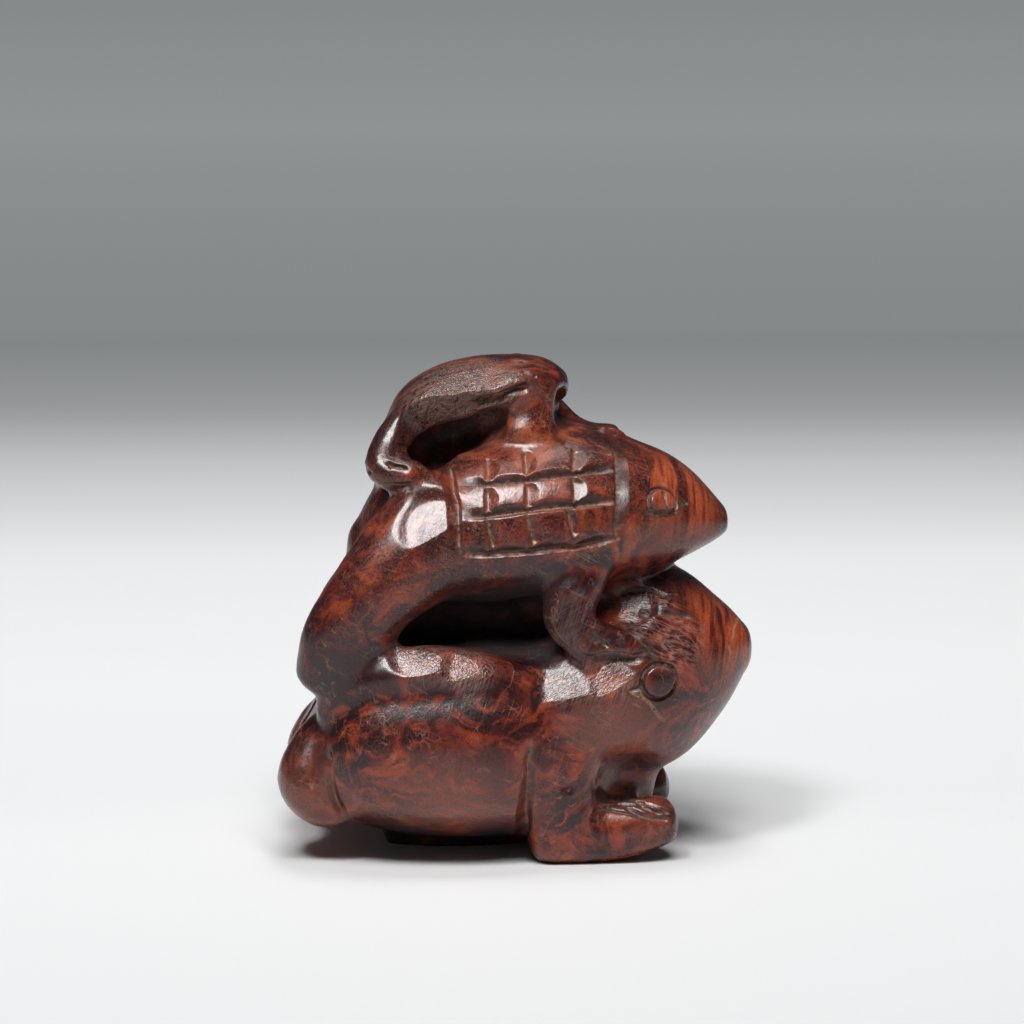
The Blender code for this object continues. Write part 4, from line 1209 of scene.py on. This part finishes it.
# The photograph's view: angles in degrees, the rest in metres, the lens in millimetres
CAMERA_AZIMUTH = -1.5
CAMERA_ELEVATION = 9.5
CAMERA_DISTANCE = 0.45
CAMERA_AIM = (-0.0003, 0.0, 0.0337)
CAMERA_LENS = 158.2
CAMERA_SENSOR = 36.0

# Lamps: (name, place, size, power in watts, lights the scene, is mirrored in the wood)
LAMPS = [
    ("key_softbox", (-0.177, -0.322, 0.561), (0.12, 0.12), 1.85, True, False),
    ("fill_softbox", (0.05, -0.33, 0.58), (0.25, 0.2), 2.6, True, False),
    ("ceiling_softbox", (0.03, 0.05, 0.67), (0.2, 0.15), 1.25, True, False),
    ("window_softbox", (-0.177, -0.322, 0.561), (0.32, 0.24), 9.2, False, True),
    ("strip_softbox", (-0.075, 0.16, 0.65), (0.5, 0.2), 1.1, False, True),
]
LAMP_AIM = (0.0, 0.0, 0.025)
AIR_COLOUR = (0.9, 0.95, 1.0, 1.0)
AIR_STRENGTH = 0.04


def floor_finish():
    """White table near the ornament that turns grey with distance before and behind it, as painted fall-off
    of the light, with a painted glow behind it.
    """
    f = Finish("floor_white")
    metres = f.node("ShaderNodeTexCoord").outputs["Object"]
    y = Value(f, f.node("ShaderNodeSeparateXYZ", sockets={0: metres}).outputs["Y"])
    span = TONES_TO - TONES_FROM
    behind = (y - TONES_FROM) / span
    # painted fall-off of the light in the table's colour, and painted glow as its emission
    paper_and_falloff, glow = (
        f.colours(behind, [((at - TONES_FROM) / span, colour) for at, colour in tones])
        for tones in (PAPER_AND_FALLOFF_TONES, PAINTED_GLOW_TONES)
    )
    f.join(
        f.shader,
        {"Base Color": paper_and_falloff, "Roughness": 0.6, "Emission Color": glow, "Emission Strength": 1.0},
    )
    return f.material


def table():
    """A round table, flat at the height of the soles."""
    turn = np.linspace(0, 2 * np.pi, TABLE_CORNERS, endpoint=False)
    rim = np.stack([np.cos(turn), np.sin(turn), 0 * turn], 1)
    points = np.concatenate([[(0, 0, 0)]] + [rim * radius for radius in TABLE_RADII])
    k = np.arange(TABLE_CORNERS) + 1
    after = k % TABLE_CORNERS + 1
    inner = np.stack([0 * k, k, after], 1).tolist()
    outer = np.stack([k, k + TABLE_CORNERS, after + TABLE_CORNERS, after], 1).tolist()
    mesh = bpy.data.meshes.new("table")
    mesh.from_pydata(points.tolist(), [], inner + outer)
    mesh.materials.append(floor_finish())
    obj = bpy.data.objects.new("table", mesh)
    bpy.context.scene.collection.objects.link(obj)


def aimed(obj, at):
    """Turns a light or camera so that it looks at a point."""
    obj.rotation_mode = "QUATERNION"
    obj.rotation_quaternion = (Vector(at) - obj.location).to_track_quat("-Z", "Y")


def softbox(name, place, size, power, lights, mirrored):
    """A lamp that looks at the ornament; it may light the scene, be mirrored in the wood, or both."""
    light = bpy.data.lights.new(name, "AREA")
    light.shape = "RECTANGLE"
    light.size, light.size_y = size
    light.energy = power
    obj = bpy.data.objects.new(name, light)
    bpy.context.scene.collection.objects.link(obj)
    obj.location = place
    obj.visible_diffuse = lights
    obj.visible_glossy = mirrored
    aimed(obj, LAMP_AIM)


def camera():
    """The photograph's view: nearly square on to the -Y side, from a little above."""
    azimuth, elevation = math.radians(CAMERA_AZIMUTH), math.radians(CAMERA_ELEVATION)
    lens = bpy.data.cameras.new("camera")
    lens.lens = CAMERA_LENS
    lens.sensor_width = CAMERA_SENSOR
    obj = bpy.data.objects.new("camera", lens)
    bpy.context.scene.collection.objects.link(obj)
    aim = Vector(CAMERA_AIM)
    level = math.cos(elevation)
    back = Vector((math.sin(azimuth) * level, -math.cos(azimuth) * level, math.sin(elevation)))
    obj.location = aim + back * CAMERA_DISTANCE
    aimed(obj, aim)
    bpy.context.scene.camera = obj


def studio():
    """Three lamps that light the scene, from front left, front and above, and two that the wood mirrors."""
    world = bpy.data.worlds.new("studio")
    bpy.context.scene.world = world
    world.use_nodes = True
    air = world.node_tree.nodes["Background"].inputs
    air["Color"].default_value = AIR_COLOUR
    air["Strength"].default_value = AIR_STRENGTH
    for lamp in LAMPS:
        softbox(*lamp)
    bpy.context.scene.view_settings.view_transform = "Standard"


piece = frogs()
piece.data.materials.append(burr_wood())
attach(piece, "root")
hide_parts(NODE)
table()
camera()
studio()
